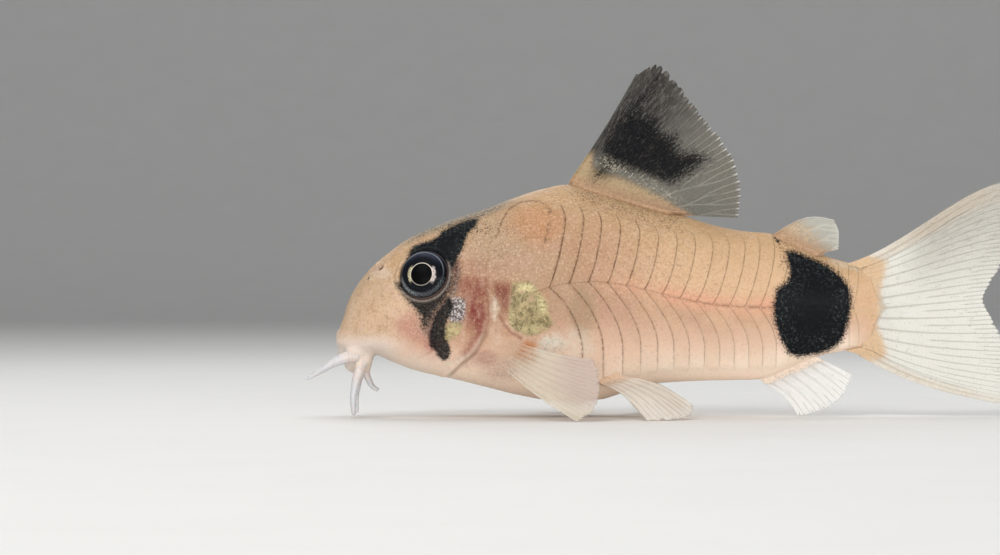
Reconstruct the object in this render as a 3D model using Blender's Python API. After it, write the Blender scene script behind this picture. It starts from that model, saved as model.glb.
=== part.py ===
"""A small armoured catfish, Corydoras panda, at life size, resting on the floor on its fins and barbels.

The head points to -X, the back to +Z, and the animal's left side to -Y. Sizes are in millimetres:
"along" runs back from the tip of the snout, "height" up from the floor, and "out" from the midline.
The objects are in metres, with the origin on the floor below the middle of the whole animal.
"""

import math

import bmesh
import bpy
from mathutils import Matrix, Vector

MM = 0.001

# Driving dimensions
TAIL_TIP_ALONG = 49.4
BARBEL_TIP_ALONG = -1.9
MIDDLE_ALONG = (TAIL_TIP_ALONG + BARBEL_TIP_ALONG) / 2
NODE_GAP = 0.3
SIDES = {"left": -1.0, "right": 1.0}

# The body's outline and sections, as (along, value)
BACK_HEIGHT = [
    (0.0, 5.7), (0.12, 6.3), (0.45, 7.15), (1.0, 8.4), (1.8, 9.7), (2.8, 10.8), (3.9, 11.7), (5.2, 12.6),
    (6.7, 13.3), (8.4, 13.95), (10.4, 14.6), (12.5, 15.4), (14.4, 16.0), (16.3, 16.35), (18.6, 15.8),
    (21.5, 14.95), (24.3, 14.2), (26.7, 13.45), (28.8, 13.05), (30.6, 12.9), (32.6, 12.1), (34.2, 11.4),
    (36.0, 10.85), (38.6, 10.2),
]
BELLY_HEIGHT = [
    (0.0, 5.7), (0.1, 5.1), (0.35, 4.55), (1.0, 4.3), (1.8, 4.3), (2.8, 4.35), (3.8, 3.95), (5.2, 3.4),
    (7.3, 2.9), (8.8, 2.55), (10.8, 2.05), (12.6, 1.6), (14.8, 1.2), (16.8, 1.05), (18.6, 1.2), (20.4, 1.75),
    (22.2, 2.3), (25.6, 2.5), (29.8, 2.6), (32.0, 3.4), (34.4, 4.35), (36.0, 4.65), (38.6, 5.1),
]
HALF_WIDTH = [
    (0.0, 0.0), (0.1, 1.0), (0.35, 1.6), (1.0, 2.3), (1.8, 2.8), (2.8, 3.2), (4.0, 3.55), (6.0, 4.0),
    (8.4, 4.5), (10.8, 4.95), (12.8, 5.1), (15.0, 5.0), (18.5, 4.5), (22.0, 3.75), (26.0, 2.9),
    (30.0, 2.15), (34.0, 1.55), (36.5, 1.2), (38.6, 0.75),
]
WIDEST_HEIGHT = [
    (0.0, 5.7), (1.0, 5.9), (3.0, 6.0), (6.0, 6.3), (10.0, 7.1), (13.0, 8.3), (16.0, 9.2), (20.0, 9.3),
    (24.0, 8.8), (28.0, 8.05), (32.0, 7.75), (38.6, 7.65),
]
# Powers of the section's curve: 2 is an ellipse, and more is squarer
BACK_POWER = [(0.0, 2.2), (3.0, 2.3), (7.0, 2.3), (12.0, 1.9), (20.0, 1.75), (30.0, 1.85), (38.6, 2.0)]
BELLY_POWER = [(0.0, 2.2), (6.0, 2.6), (13.0, 2.8), (20.0, 2.7), (28.0, 2.2), (38.6, 2.0)]

# Gill opening, as (turn, along): turn is 0 on the back, 0.5 at the widest place and 1 under the belly
GILL_EDGE = [(0.0, 12.6), (0.25, 11.1), (0.4, 10.55), (0.5, 10.75), (0.6, 10.0), (0.75, 8.5), (1.0, 7.4)]
GILL_GAP = 0.5
# The gill cover stands above the head from the cheek's edge back, between two turns
CHEEK_EDGE_SHARE = 0.72
GILL_COVER_RAISED = 0.2
GILL_COVER_TURNS = (0.36, 0.8)

# Bony plates of the flanks, in an upper and a lower row that meet at the widest place
PLATE_LINES = 23
FIRST_PLATE_ALONG = 13.45
FIRST_PLATE_PITCH = 1.42
LAST_PLATE_PITCH = 0.80
PLATE_RAISED = 0.18
PLATE_STEP = 0.1
RIDGE_RELIEF = 0.3
# How far back the plates' edges lean above and below the widest place, as (along, lean)
UPPER_LEAN = [(13.0, 0.9), (18.0, 1.0), (25.0, 1.4), (31.0, 1.2), (36.0, 0.5), (38.4, -0.8)]
LOWER_LEAN = [(13.0, 2.2), (17.0, 2.4), (25.0, 1.7), (31.0, 1.1), (36.0, 0.5), (38.4, -0.8)]
LOWER_LEAN_DEPTH = 0.6
SOFT_BELLY_TURN = 0.84
TRUNK_END_LINE = 15
STALK_END_ALONG = 38.35
STALK_END_DISH = 0.5

RING_STEPS = 17
SHARP_EDGE_ANGLE = math.radians(40)

# Eyes: flattened domes whose rims lie level with the skin
EYE_ALONG = 6.25
EYE_TURN = 0.335
EYE_RADIUS = 1.76
EYE_DEPTH = 1.1
EYE_SUNK = 0.3
EYE_SEGMENTS = 24
ORBIT_RIM_REACH = 2.33
ORBIT_RIM_THICK = 0.27
ORBIT_RIM_SIDES = 6

# Mouth
MOUTH_CORNER = (2.15, 1.5, 4.0)
UPPER_LIP_FRONT = (0.4, 0.0, 4.3)
LOWER_LIP_FRONT = (1.0, 0.0, 3.72)
LIP_RADIUS = 0.3
LIP_CORNER_SHARE = 0.75
LIP_POINTS = 9
JAW_CENTRE = (2.05, 0.0, 4.05)
JAW_RADII = (1.1, 1.25, 0.5)

# Nostrils, two on each side, as (along, turn, stands above the skin); the front one is a short tube
NOSTRILS = [(2.5, 0.19, 0.38), (3.3, 0.2, 0.16)]
NOSTRIL_LEAN = 0.25
NOSTRIL_RADIUS = 0.33
NOSTRIL_FOOT_SHARE = 1.15
NOSTRIL_HOLE_RADIUS = 0.17
NOSTRIL_DEPTH = 0.25

# Colours
PINK_FLESH = (0.86, 0.62, 0.47, 1.0)
FACE_FLESH = (0.80, 0.58, 0.45, 1.0)
FIN_PALE = (0.85, 0.82, 0.74, 1.0)
FIN_DARK = (0.10, 0.10, 0.11, 1.0)
BARBEL_PALE = (0.88, 0.76, 0.70, 1.0)
EYE_DARK = (0.02, 0.02, 0.03, 1.0)


def smooth_through(points):
    """A function that passes smoothly through (place, value) points and doesn't overshoot between them."""
    places = [place for place, _ in points]
    values = [value for _, value in points]
    last = len(points) - 1
    steps = [(values[i + 1] - values[i]) / (places[i + 1] - places[i]) for i in range(last)]
    slopes = [steps[0]] + [0.0] * (last - 1) + [steps[-1]]
    for i in range(1, last):
        if steps[i - 1] * steps[i] > 0:
            slopes[i] = 2 * steps[i - 1] * steps[i] / (steps[i - 1] + steps[i])

    def value_at(place):
        place = min(max(place, places[0]), places[-1])
        i = max(k for k in range(last) if places[k] <= place)
        width = places[i + 1] - places[i]
        t = (place - places[i]) / width
        return (
            values[i] * (1 + 2 * t) * (1 - t) ** 2
            + values[i + 1] * t * t * (3 - 2 * t)
            + slopes[i] * width * t * (1 - t) ** 2
            - slopes[i + 1] * width * t * t * (1 - t)
        )

    return value_at


back_height = smooth_through(BACK_HEIGHT)
belly_height = smooth_through(BELLY_HEIGHT)
half_width = smooth_through(HALF_WIDTH)
widest_height = smooth_through(WIDEST_HEIGHT)
back_power = smooth_through(BACK_POWER)
belly_power = smooth_through(BELLY_POWER)
gill_edge = smooth_through(GILL_EDGE)
upper_lean = smooth_through(UPPER_LEAN)
lower_lean = smooth_through(LOWER_LEAN)


def in_metres(point):
    """A point given as (along, out, height) in millimetres, in the part's own frame."""
    along, out, height = point
    return Vector(((along - MIDDLE_ALONG) * MM, out * MM, height * MM))


def section_at(along, above):
    """Half width, height of the widest place, reach above or below it, and power of the curve."""
    middle = widest_height(along)
    if above:
        return half_width(along), middle, back_height(along) - middle, back_power(along)
    return half_width(along), middle, belly_height(along) - middle, belly_power(along)


def skin_point(along, turn, raised=0.0):
    """The body's surface at a turn from back to belly, raised along the section's own normal."""
    width, middle, reach, power = section_at(along, turn <= 0.5)
    across = max(math.sin(math.pi * turn), 0.0) ** (2 / power)
    up = abs(math.cos(math.pi * turn)) ** (2 / power)
    if raised and width > 0:
        slope_out = across ** (power - 1) / width
        slope_up = up ** (power - 1) / reach
        lift = raised / math.hypot(slope_out, slope_up)
        return along, width * across + lift * slope_out, middle + reach * up + lift * slope_up
    return along, width * across, middle + reach * up


def clear_of_body(point, gap):
    """The point, moved out from the body's surface where it is nearer than the gap."""
    along, out, height = point
    if not 0.05 < along < STALK_END_ALONG:
        return point
    sign = -1.0 if out < 0 else 1.0
    width, middle, reach, power = section_at(along, height > widest_height(along))
    across, up = abs(out) / width, (height - middle) / reach
    fullness = (across**power + abs(up) ** power) ** (1 / power)
    if fullness < 1e-6:
        return point
    slope_out = across ** (power - 1) / width
    slope_up = abs(up) ** (power - 1) / reach
    size = math.hypot(slope_out, slope_up)
    distance = (fullness - 1) * fullness ** (power - 1) / size
    missing = gap - distance
    if missing <= 0:
        return point
    return along, out + sign * missing * slope_out / size, height + missing * slope_up / size


def skin_slopes(along, turn):
    """How the right side's skin moves for each millimetre back, and for each unit of turn."""
    step = 0.01
    back = Vector(skin_point(along + step, turn)) - Vector(skin_point(along - step, turn))
    down = Vector(skin_point(along, turn + step)) - Vector(skin_point(along, turn - step))
    return back / (2 * step), down / (2 * step)


def skin_normal(along, turn):
    """The outward direction of the right side's skin."""
    back, down = skin_slopes(along, turn)
    return back.cross(down).normalized()


def skin_under(point, along, turn):
    """The place, as (along, turn), of the skin nearest to a point, found from a place not far from it."""
    for _ in range(5):
        back, down = skin_slopes(along, turn)
        off = Vector(point) - Vector(skin_point(along, turn))
        slant = back.dot(down)
        size = back.dot(back) * down.dot(down) - slant * slant
        along += (off.dot(back) * down.dot(down) - off.dot(down) * slant) / size
        turn += (off.dot(down) * back.dot(back) - off.dot(back) * slant) / size
    return along, turn


def lean_at(along, turn):
    """How far behind its widest place a plate's edge lies at this turn."""
    if turn <= 0.5:
        rise = abs(math.cos(math.pi * turn))
        return upper_lean(along) * rise * (2 - rise)
    _, _, _, power = section_at(along, False)
    fall = min(1.0, abs(math.cos(math.pi * turn)) ** (2 / power) / LOWER_LEAN_DEPTH)
    return lower_lean(along) * fall * (2 - fall)


def plate_line(number):
    """Where the edge of plate row number crosses the widest place."""
    share = number / (PLATE_LINES - 1)
    mean_pitch = FIRST_PLATE_PITCH + (LAST_PLATE_PITCH - FIRST_PLATE_PITCH) * share / 2
    return FIRST_PLATE_ALONG + number * mean_pitch


def plate_relief(turn, soft_belly):
    """Share of the plates' height at this turn: low in the seams and on the soft belly."""
    seam = min(1.0, abs(turn - 0.5) * RING_STEPS)
    ridge = min(1.0, RIDGE_RELIEF + min(turn, 1 - turn) * RING_STEPS * (1 - RIDGE_RELIEF))
    belly = 0.0 if soft_belly and turn > SOFT_BELLY_TURN else 1.0
    return seam * ridge * belly


def plate_ring(along, raised, soft_belly):
    """One ring of the armour, as a function of turn."""

    def point(turn):
        place = min(along + lean_at(along, turn), HALF_WIDTH[-1][0])
        return skin_point(place, turn, raised * plate_relief(turn, soft_belly))

    return point


def blended_ring(first, second, share):
    """A ring part of the way between two edges that are given as functions of turn."""
    return lambda turn: skin_point(first(turn) * (1 - share) + second(turn) * share, turn)


def material(name, colour, roughness):
    made = bpy.data.materials.new(name)
    made.use_nodes = True
    shader = made.node_tree.nodes["Principled BSDF"]
    shader.inputs["Base Color"].default_value = colour
    shader.inputs["Roughness"].default_value = roughness
    shader.inputs["Metallic"].default_value = 0.0
    made.diffuse_color = colour
    return made


def finished(bm, name, surface):
    """The bmesh as an object with its own material and smooth shading."""
    bmesh.ops.recalc_face_normals(bm, faces=bm.faces)
    if bm.calc_volume(signed=True) < 0:
        bmesh.ops.reverse_faces(bm, faces=bm.faces)
    mesh = bpy.data.meshes.new(name)
    bm.to_mesh(mesh)
    bm.free()
    mesh.shade_smooth()
    mesh.set_sharp_from_angle(angle=SHARP_EDGE_ANGLE)
    made = bpy.data.objects.new(name, mesh)
    bpy.context.scene.collection.objects.link(made)
    mesh.materials.append(surface)
    return made


def ring_turns():
    """Turns of a ring's points: down the left side from the back, then up the right side."""
    down = [step / RING_STEPS for step in range(RING_STEPS + 1)]
    return [(turn, -1.0) for turn in down] + [(turn, 1.0) for turn in reversed(down[1:-1])]


def loft(name, rings, surface, front_centre, rear_centre):
    """A closed body through rings of points, ended by a fan to a centre at the front and at the rear."""
    bm = bmesh.new()
    loops = []
    for ring in rings:
        corners = []
        for turn, side in ring_turns():
            along, out, height = ring(turn)
            corners.append(bm.verts.new(in_metres((along, side * out, height))))
        loops.append(corners)
    count = len(loops[0])
    for first, second in zip(loops, loops[1:]):
        for i in range(count):
            j = (i + 1) % count
            bm.faces.new((first[i], first[j], second[j], second[i]))
    for loop, centre in ((loops[0], front_centre), (loops[-1], rear_centre)):
        hub = bm.verts.new(in_metres(centre))
        for i in range(count):
            bm.faces.new((loop[i], loop[(i + 1) % count], hub))
    bmesh.ops.triangulate(bm, faces=bm.faces)
    return finished(bm, name, surface)


def apply_modifiers(target):
    """Makes the object's mesh the one that its modifiers give."""
    graph = bpy.context.evaluated_depsgraph_get()
    mesh = bpy.data.meshes.new_from_object(target.evaluated_get(graph))
    target.modifiers.clear()
    old = target.data
    target.data = mesh
    bpy.data.meshes.remove(old)


def combine(target, pieces, operation):
    """One Boolean of all the pieces on the target, after which the pieces are removed."""
    group = bpy.data.collections.new(target.name + "_pieces")
    for piece in pieces:
        group.objects.link(piece)
    boolean = target.modifiers.new("combine", "BOOLEAN")
    boolean.operation = operation
    boolean.solver = "EXACT"
    boolean.operand_type = "COLLECTION"
    boolean.collection = group
    apply_modifiers(target)
    for piece in pieces:
        bpy.data.objects.remove(piece)
    bpy.data.collections.remove(group)
    keep_largest_body(target)


def keep_largest_body(target):
    """Drops any loose scrap that a Boolean leaves."""
    bm = bmesh.new()
    bm.from_mesh(target.data)
    bodies = []
    waiting = set(bm.verts)
    while waiting:
        body = set()
        reached = [waiting.pop()]
        while reached:
            vert = reached.pop()
            body.add(vert)
            neighbours = {edge.other_vert(vert) for edge in vert.link_edges} & waiting
            waiting -= neighbours
            reached.extend(neighbours)
        bodies.append(body)
    largest = max(bodies, key=len)
    loose = [vert for body in bodies if body is not largest for vert in body]
    bmesh.ops.delete(bm, geom=loose, context="VERTS")
    bmesh.ops.triangulate(bm, faces=bm.faces)
    bm.to_mesh(target.data)
    bm.free()


def ellipsoid(name, centre, radii, turned, surface, segments=16, rings=10):
    """An ellipsoid with its short axis along local Z."""
    bm = bmesh.new()
    bmesh.ops.create_uvsphere(bm, u_segments=segments, v_segments=rings, radius=1.0)
    size = Matrix.Diagonal([radius * MM for radius in radii] + [1.0])
    place = Matrix.Translation(in_metres(centre)) @ turned.to_4x4() @ size
    bmesh.ops.transform(bm, matrix=place, verts=bm.verts)
    return finished(bm, name, surface)


def tube(name, path, radii, surface, level=Vector((0, 1, 0)), sides=8):
    """A round tube of changing radius along a path that never runs along level, with flat ends."""
    points = [in_metres(point) for point in path]
    bm = bmesh.new()
    loops = []
    for i, point in enumerate(points):
        ahead = (points[min(i + 1, len(points) - 1)] - points[max(i - 1, 0)]).normalized()
        first = ahead.cross(level).normalized()
        second = ahead.cross(first)
        loops.append([
            bm.verts.new(point + radii[i] * MM * (math.cos(a) * first + math.sin(a) * second))
            for a in (2 * math.pi * k / sides for k in range(sides))
        ])
    for loop, other in zip(loops, loops[1:]):
        for k in range(sides):
            bm.faces.new((loop[k], loop[(k + 1) % sides], other[(k + 1) % sides], other[k]))
    bm.faces.new(loops[0])
    bm.faces.new(loops[-1])
    bmesh.ops.triangulate(bm, faces=bm.faces)
    return finished(bm, name, surface)


def bent_path(corners, count):
    """Evenly spaced points on a smooth curve through a few corners."""
    places = [i / (len(corners) - 1) for i in range(len(corners))]
    axes = [smooth_through(list(zip(places, [corner[axis] for corner in corners]))) for axis in range(3)]
    return [tuple(axis(i / (count - 1)) for axis in axes) for i in range(count)]


def on_side(point, side):
    """The point, with its distance out laid to the left or the right."""
    along, out, height = point
    return along, side * out, height


def eye_place(side):
    """The eye's centre, and its turn with local Z along its axis."""
    normal = skin_normal(EYE_ALONG, EYE_TURN)
    centre = Vector(skin_point(EYE_ALONG, EYE_TURN)) - normal * EYE_SUNK
    axis = Vector(on_side(normal, side))
    return on_side(centre, side), axis.to_track_quat("Z", "Y").to_matrix()


def eyeball(name, centre, radii, turned, surface):
    return ellipsoid(name, centre, radii, turned, surface, EYE_SEGMENTS, EYE_SEGMENTS // 2)


def orbit_rim(side, surface):
    """The fold of skin round the eye, as a ring half sunk in the head."""
    centre = Vector(skin_point(EYE_ALONG, EYE_TURN))
    back = skin_slopes(EYE_ALONG, EYE_TURN)[0].normalized()
    up = skin_normal(EYE_ALONG, EYE_TURN).cross(back)
    bm = bmesh.new()
    loops = []
    for i in range(EYE_SEGMENTS):
        around = 2 * math.pi * i / EYE_SEGMENTS
        loop = []
        for k in range(ORBIT_RIM_SIDES):
            section = 2 * math.pi * k / ORBIT_RIM_SIDES
            reach = ORBIT_RIM_REACH + ORBIT_RIM_THICK * math.cos(section)
            ahead = centre + (back * math.cos(around) + up * math.sin(around)) * reach
            point = skin_point(*skin_under(ahead, EYE_ALONG, EYE_TURN), ORBIT_RIM_THICK * math.sin(section))
            loop.append(bm.verts.new(in_metres(on_side(point, side))))
        loops.append(loop)
    for first, second in zip(loops, loops[1:] + loops[:1]):
        for k in range(ORBIT_RIM_SIDES):
            following = (k + 1) % ORBIT_RIM_SIDES
            bm.faces.new((first[k], first[following], second[following], second[k]))
    return finished(bm, "orbit_rim", surface)


def nostril_piece(side, along, turn, radius, low, high, surface):
    """A short tube on the snout beside its midline, leaning forward."""
    foot = on_side(skin_point(along, turn, low), side)
    top = on_side(skin_point(along - NOSTRIL_LEAN, turn, high), side)
    return tube("nostril", [foot, top], [radius * NOSTRIL_FOOT_SHARE, radius], surface)


def lip(name, front, surface):
    """A horseshoe from one corner of the mouth round the front to the other, thinner at the corners."""
    corner_along, corner_out, corner_height = MOUTH_CORNER
    path = []
    radii = []
    for i in range(LIP_POINTS):
        around = math.pi * (i / (LIP_POINTS - 1) - 0.5)
        forward = math.cos(around)
        along = corner_along + (front[0] - corner_along) * forward
        height = corner_height + (front[2] - corner_height) * forward
        path.append((along, corner_out * math.sin(around), height))
        radii.append(LIP_RADIUS * (LIP_CORNER_SHARE + (1 - LIP_CORNER_SHARE) * forward))
    return tube(name, path, radii, surface, level=Vector((0, 0, 1)))


def gill_cover_relief(share, turn):
    """Height of the gill cover above the head, which steps up at the cheek's edge."""
    top, bottom = GILL_COVER_TURNS
    if not top <= turn <= bottom or share < CHEEK_EDGE_SHARE:
        return 0.0
    spread = math.sin(math.pi * (turn - top) / (bottom - top))
    return GILL_COVER_RAISED * min(1.0, 2 * spread)


def head_ring(share, rear_gap=0.0):
    def point(turn):
        place = gill_edge(turn) * share - rear_gap
        return skin_point(place, turn, gill_cover_relief(share, turn))

    return point


def make_head(surface):
    before_cheek = [0.004, 0.015, 0.035, 0.065, 0.11, 0.17, 0.24, 0.32, 0.40, 0.48, 0.56, 0.64, 0.715]
    on_gill_cover = [0.735, 0.82, 0.91]
    rings = [head_ring(share) for share in before_cheek + on_gill_cover]
    rings.append(head_ring(1.0, GILL_GAP / 2))
    middle = gill_edge(0.5) - GILL_GAP / 2
    head = loft(
        "head", rings, surface,
        front_centre=(0.0, 0.0, BACK_HEIGHT[0][1]),
        rear_centre=(middle, 0.0, widest_height(middle)),
    )
    pieces = [
        lip("upper_lip", UPPER_LIP_FRONT, surface),
        lip("lower_lip", LOWER_LIP_FRONT, surface),
        ellipsoid("jaw", JAW_CENTRE, JAW_RADII, Matrix.Identity(3), surface),
    ]
    for side in SIDES.values():
        pieces.append(orbit_rim(side, surface))
        for along, turn, stands in NOSTRILS:
            below = -2 * NOSTRIL_DEPTH
            pieces.append(nostril_piece(side, along, turn, NOSTRIL_RADIUS, below, stands, surface))
    combine(head, pieces, "UNION")
    cutters = []
    for side in SIDES.values():
        socket = [radius + NODE_GAP for radius in (EYE_RADIUS, EYE_RADIUS, EYE_DEPTH)]
        centre, turned = eye_place(side)
        cutters.append(eyeball("socket", centre, socket, turned, surface))
        for along, turn, stands in NOSTRILS:
            above = stands + NOSTRIL_DEPTH
            below = -NOSTRIL_DEPTH
            cutters.append(nostril_piece(side, along, turn, NOSTRIL_HOLE_RADIUS, below, above, surface))
    combine(head, cutters, "DIFFERENCE")
    return head


def make_eye(side_name, side, surface):
    centre, turned = eye_place(side)
    radii = (EYE_RADIUS, EYE_RADIUS, EYE_DEPTH)
    return eyeball("eye_" + side_name, centre, radii, turned, surface)


def make_trunk(surface):
    """From the gill opening to the root of the anal fin, with the shoulder plates and the armour."""

    def first_line(turn):
        along = plate_line(0)
        return along + lean_at(along, turn)

    def shoulder_start(turn):
        return gill_edge(turn) + GILL_GAP / 2

    rings = [blended_ring(shoulder_start, first_line, share) for share in (0.0, 0.2, 0.4, 0.6, 0.8)]
    for number in range(TRUNK_END_LINE):
        front = plate_line(number)
        rings.append(plate_ring(front, PLATE_RAISED, True))
        if number < TRUNK_END_LINE - 1:
            rings.append(plate_ring(front + PLATE_STEP, 0.0, True))
    start = shoulder_start(0.5)
    end = plate_line(TRUNK_END_LINE - 1) - NODE_GAP / 2
    rings[-1] = plate_ring(end, PLATE_RAISED, True)
    return loft(
        "trunk", rings, surface,
        front_centre=(start, 0.0, widest_height(start)),
        rear_centre=(end, 0.0, widest_height(end)),
    )


def make_tail_stalk(surface):
    start = plate_line(TRUNK_END_LINE - 1) + NODE_GAP / 2
    rings = [plate_ring(start, 0.0, False)]
    for number in range(TRUNK_END_LINE, PLATE_LINES - 1):
        rings.append(plate_ring(plate_line(number), PLATE_RAISED, False))
        rings.append(plate_ring(plate_line(number) + PLATE_STEP, 0.0, False))
    rings.append(plate_ring(STALK_END_ALONG, 0.0, False))
    return loft(
        "tail_stalk", rings, surface,
        front_centre=(start, 0.0, widest_height(start)),
        rear_centre=(STALK_END_ALONG - STALK_END_DISH, 0.0, widest_height(STALK_END_ALONG)),
    )


# Fins: each is a fan of rays between a root on the body and a free edge, as (share across the fan, place)
FIN_ROWS = 8
WEB_HALF_THICK = 0.25
RAY_HALF_THICK = 0.38
SPINE_HALF_THICK = 0.45
TIP_HALF_THICK = 0.13
RAY_TAPER_START = 0.35
WEB_TAPER_START = 0.8
WEB_SHORTER = 0.05
WEB_PLACES = (0.3, 0.7)
FAN_STEP = 0.01


def across(points):
    """A smooth curve through (share, (along, out, height)) points."""
    axes = [smooth_through([(share, place[axis]) for share, place in points]) for axis in range(3)]
    return lambda share: Vector([axis(share) for axis in axes])


def fin_columns(rays):
    """Shares across the fan, each with what it is: a ray's crest, or the web beside it."""
    step = 1 / (rays - 1)
    columns = []
    for ray in range(rays - 1):
        columns.append((ray * step, "ray"))
        columns.extend(((ray + place) * step, "web") for place in WEB_PLACES)
    columns.append((1.0, "ray"))
    return columns


def fin(name, rays, root_curve, tips, bow, surface, spine=False, gap=NODE_GAP, rows=FIN_ROWS):
    """A fin with its rays raised in both faces. bow(share, reach) bends the rays, in millimetres."""
    tip_curve = across(tips)
    columns = fin_columns(rays)

    def place(share, reach):
        root, tip = root_curve(share), tip_curve(share)
        return root + (tip - root) * reach + bow(share, min(max(reach, 0.0), 1.0))

    def face_direction(share, reach):
        before, after = max(share - FAN_STEP, 0.0), min(share + FAN_STEP, 1.0)
        sideways = place(after, reach) - place(before, reach)
        return sideways.cross(place(share, reach + FAN_STEP) - place(share, reach - FAN_STEP)).normalized()

    def half_thick(index, reach):
        _, kind = columns[index]
        full = {"web": WEB_HALF_THICK, "ray": RAY_HALF_THICK}[kind]
        if spine and index == 0:
            full = SPINE_HALF_THICK
        start = {"web": WEB_TAPER_START, "ray": RAY_TAPER_START}[kind]
        return full + (TIP_HALF_THICK - full) * max(0.0, (reach - start) / (1 - start))

    bm = bmesh.new()
    faces = {1: [], -1: []}
    for index, (share, kind) in enumerate(columns):
        length = 1.0 - (WEB_SHORTER if kind == "web" else 0.0)
        reaches = [length * row / rows for row in range(rows + 1)]
        for side, grid in faces.items():
            line = []
            for reach in reaches:
                outward = face_direction(share, reach) * side
                corner = place(share, reach) + outward * half_thick(index, reach)
                along, out, height = clear_of_body(corner, gap) if gap else corner
                line.append(bm.verts.new(in_metres((along, out, max(height, 0.0)))))
            grid.append(line)
    join_fin_faces(bm, faces, len(columns) - 1, rows)
    return finished(bm, name, surface)


def join_fin_faces(bm, faces, last_column, last_row):
    """Lays triangles between both faces' points, split alike, and closes the rim between the faces."""
    for grid in faces.values():
        for column in range(last_column):
            for row in range(last_row):
                near, far = grid[column], grid[column + 1]
                bm.faces.new((near[row], far[row], far[row + 1]))
                bm.faces.new((near[row], far[row + 1], near[row + 1]))
    rim = [(column, 0) for column in range(last_column)]
    rim += [(last_column, row) for row in range(last_row)]
    rim += [(column, last_row) for column in range(last_column, 0, -1)]
    rim += [(0, row) for row in range(last_row, 0, -1)]
    for (column, row), (next_column, next_row) in zip(rim, rim[1:] + rim[:1]):
        left, right = faces[1], faces[-1]
        bm.faces.new((
            left[column][row], left[next_column][next_row],
            right[next_column][next_row], right[column][row],
        ))
    bmesh.ops.triangulate(bm, faces=[face for face in bm.faces if len(face.verts) == 4])


MIDLINE_GAP = NODE_GAP + PLATE_RAISED * RIDGE_RELIEF


def back_root(along):
    """A root on the ridge of the back."""
    return Vector((along, 0.0, back_height(along) + MIDLINE_GAP))


def belly_root(along):
    """A root on the midline under the body."""
    return Vector((along, 0.0, belly_height(along) - MIDLINE_GAP))


DORSAL_ROOT = (16.5, 24.2)
DORSAL_TIPS = [
    (0.0, (21.1, 0.0, 24.1)), (1 / 7, (22.75, 0.0, 24.9)), (2 / 7, (24.65, 0.0, 22.75)),
    (3 / 7, (26.0, 0.0, 21.0)), (4 / 7, (27.2, 0.0, 19.5)), (5 / 7, (28.1, 0.0, 17.9)),
    (6 / 7, (28.5, 0.0, 16.0)), (1.0, (28.25, 0.0, 14.35)),
]
DORSAL_RAYS = 8


def make_dorsal_fin(surface):
    start, end = DORSAL_ROOT

    def root(share):
        return back_root(start + (end - start) * share)

    def bow(share, reach):
        return Vector((-0.35, 0.0, 0.3)) * math.sin(math.pi * reach) * (1 - share)

    return fin("dorsal_fin", DORSAL_RAYS, root, DORSAL_TIPS, bow, surface, spine=True)


ADIPOSE_ROOT = (31.2, 34.6)
ADIPOSE_RAYS = 4
ADIPOSE_TIPS = [(0.0, (35.05, 0.0, 13.85)), (0.5, (35.4, 0.0, 12.9)), (1.0, (35.35, 0.0, 11.75))]


def make_adipose_fin(surface):
    start, end = ADIPOSE_ROOT

    def root(share):
        return back_root(start + (end - start) * share)

    def bow(share, reach):
        return Vector((0.0, 0.0, 0.55)) * math.sin(math.pi * reach) * (1 - share)

    return fin("adipose_fin", ADIPOSE_RAYS, root, ADIPOSE_TIPS, bow, surface, spine=True, rows=5)


ANAL_ROOT = (30.2, 34.3)
ANAL_TIPS = [
    (0.0, (32.5, 0.0, 0.0)), (0.3, (34.1, 0.0, 0.35)), (0.65, (35.6, 0.0, 1.3)), (1.0, (36.4, 0.0, 2.95)),
]
ANAL_RAYS = 7


def make_anal_fin(surface):
    start, end = ANAL_ROOT

    def root(share):
        return belly_root(start + (end - start) * share)

    def bow(share, reach):
        return Vector((0.25, 0.0, 0.2)) * math.sin(math.pi * reach) * (1 - share)

    return fin("anal_fin", ANAL_RAYS, root, ANAL_TIPS, bow, surface, rows=6)


# The outermost shares of the tail fin are its small front rays, along the top and bottom of the stalk
CAUDAL_RAYS = 16
CAUDAL_FRONT_ALONG = 36.7
CAUDAL_FRONT_SHARE = 1 / (CAUDAL_RAYS - 1)
CAUDAL_TIPS = [
    (0.0, (TAIL_TIP_ALONG, 0.0, 15.7)), (0.14, (49.1, 0.0, 14.3)), (0.29, (47.8, 0.0, 12.0)),
    (0.42, (46.3, 0.0, 9.7)), (0.5, (45.6, 0.0, 8.3)), (0.58, (46.2, 0.0, 6.9)), (0.71, (47.6, 0.0, 4.4)),
    (0.86, (48.8, 0.0, 1.8)), (1.0, (49.1, 0.0, 0.55)),
]
CAUDAL_UPPER_BOW = 9.0
CAUDAL_LOWER_BOW = 0.75


def caudal_root(share):
    """Round the end of the stalk, from its top to its bottom."""
    end_turn = (share - CAUDAL_FRONT_SHARE) / (1 - 2 * CAUDAL_FRONT_SHARE)
    along, _, height = plate_ring(STALK_END_ALONG, 0.0, False)(min(max(end_turn, 0.0), 1.0))
    along += NODE_GAP
    if end_turn < 0:
        along += (CAUDAL_FRONT_ALONG - along) * (1 - share / CAUDAL_FRONT_SHARE)
        return back_root(along)
    if end_turn > 1:
        along += (CAUDAL_FRONT_ALONG - along) * (1 - (1 - share) / CAUDAL_FRONT_SHARE)
        return belly_root(along)
    return Vector((along, 0.0, height + MIDLINE_GAP * (1 - 2 * end_turn)))


def make_caudal_fin(surface):
    def bow(share, reach):
        rise = CAUDAL_UPPER_BOW * reach**2 * (1 - reach) ** 0.75 * max(0.0, 1 - 2 * share) ** 1.5
        fall = CAUDAL_LOWER_BOW * math.sin(math.pi * reach**0.8) * max(0.0, 2 * share - 1)
        return Vector((0.0, 0.0, rise - fall))

    return fin("caudal_fin", CAUDAL_RAYS, caudal_root, CAUDAL_TIPS, bow, surface, gap=0.0)


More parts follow.
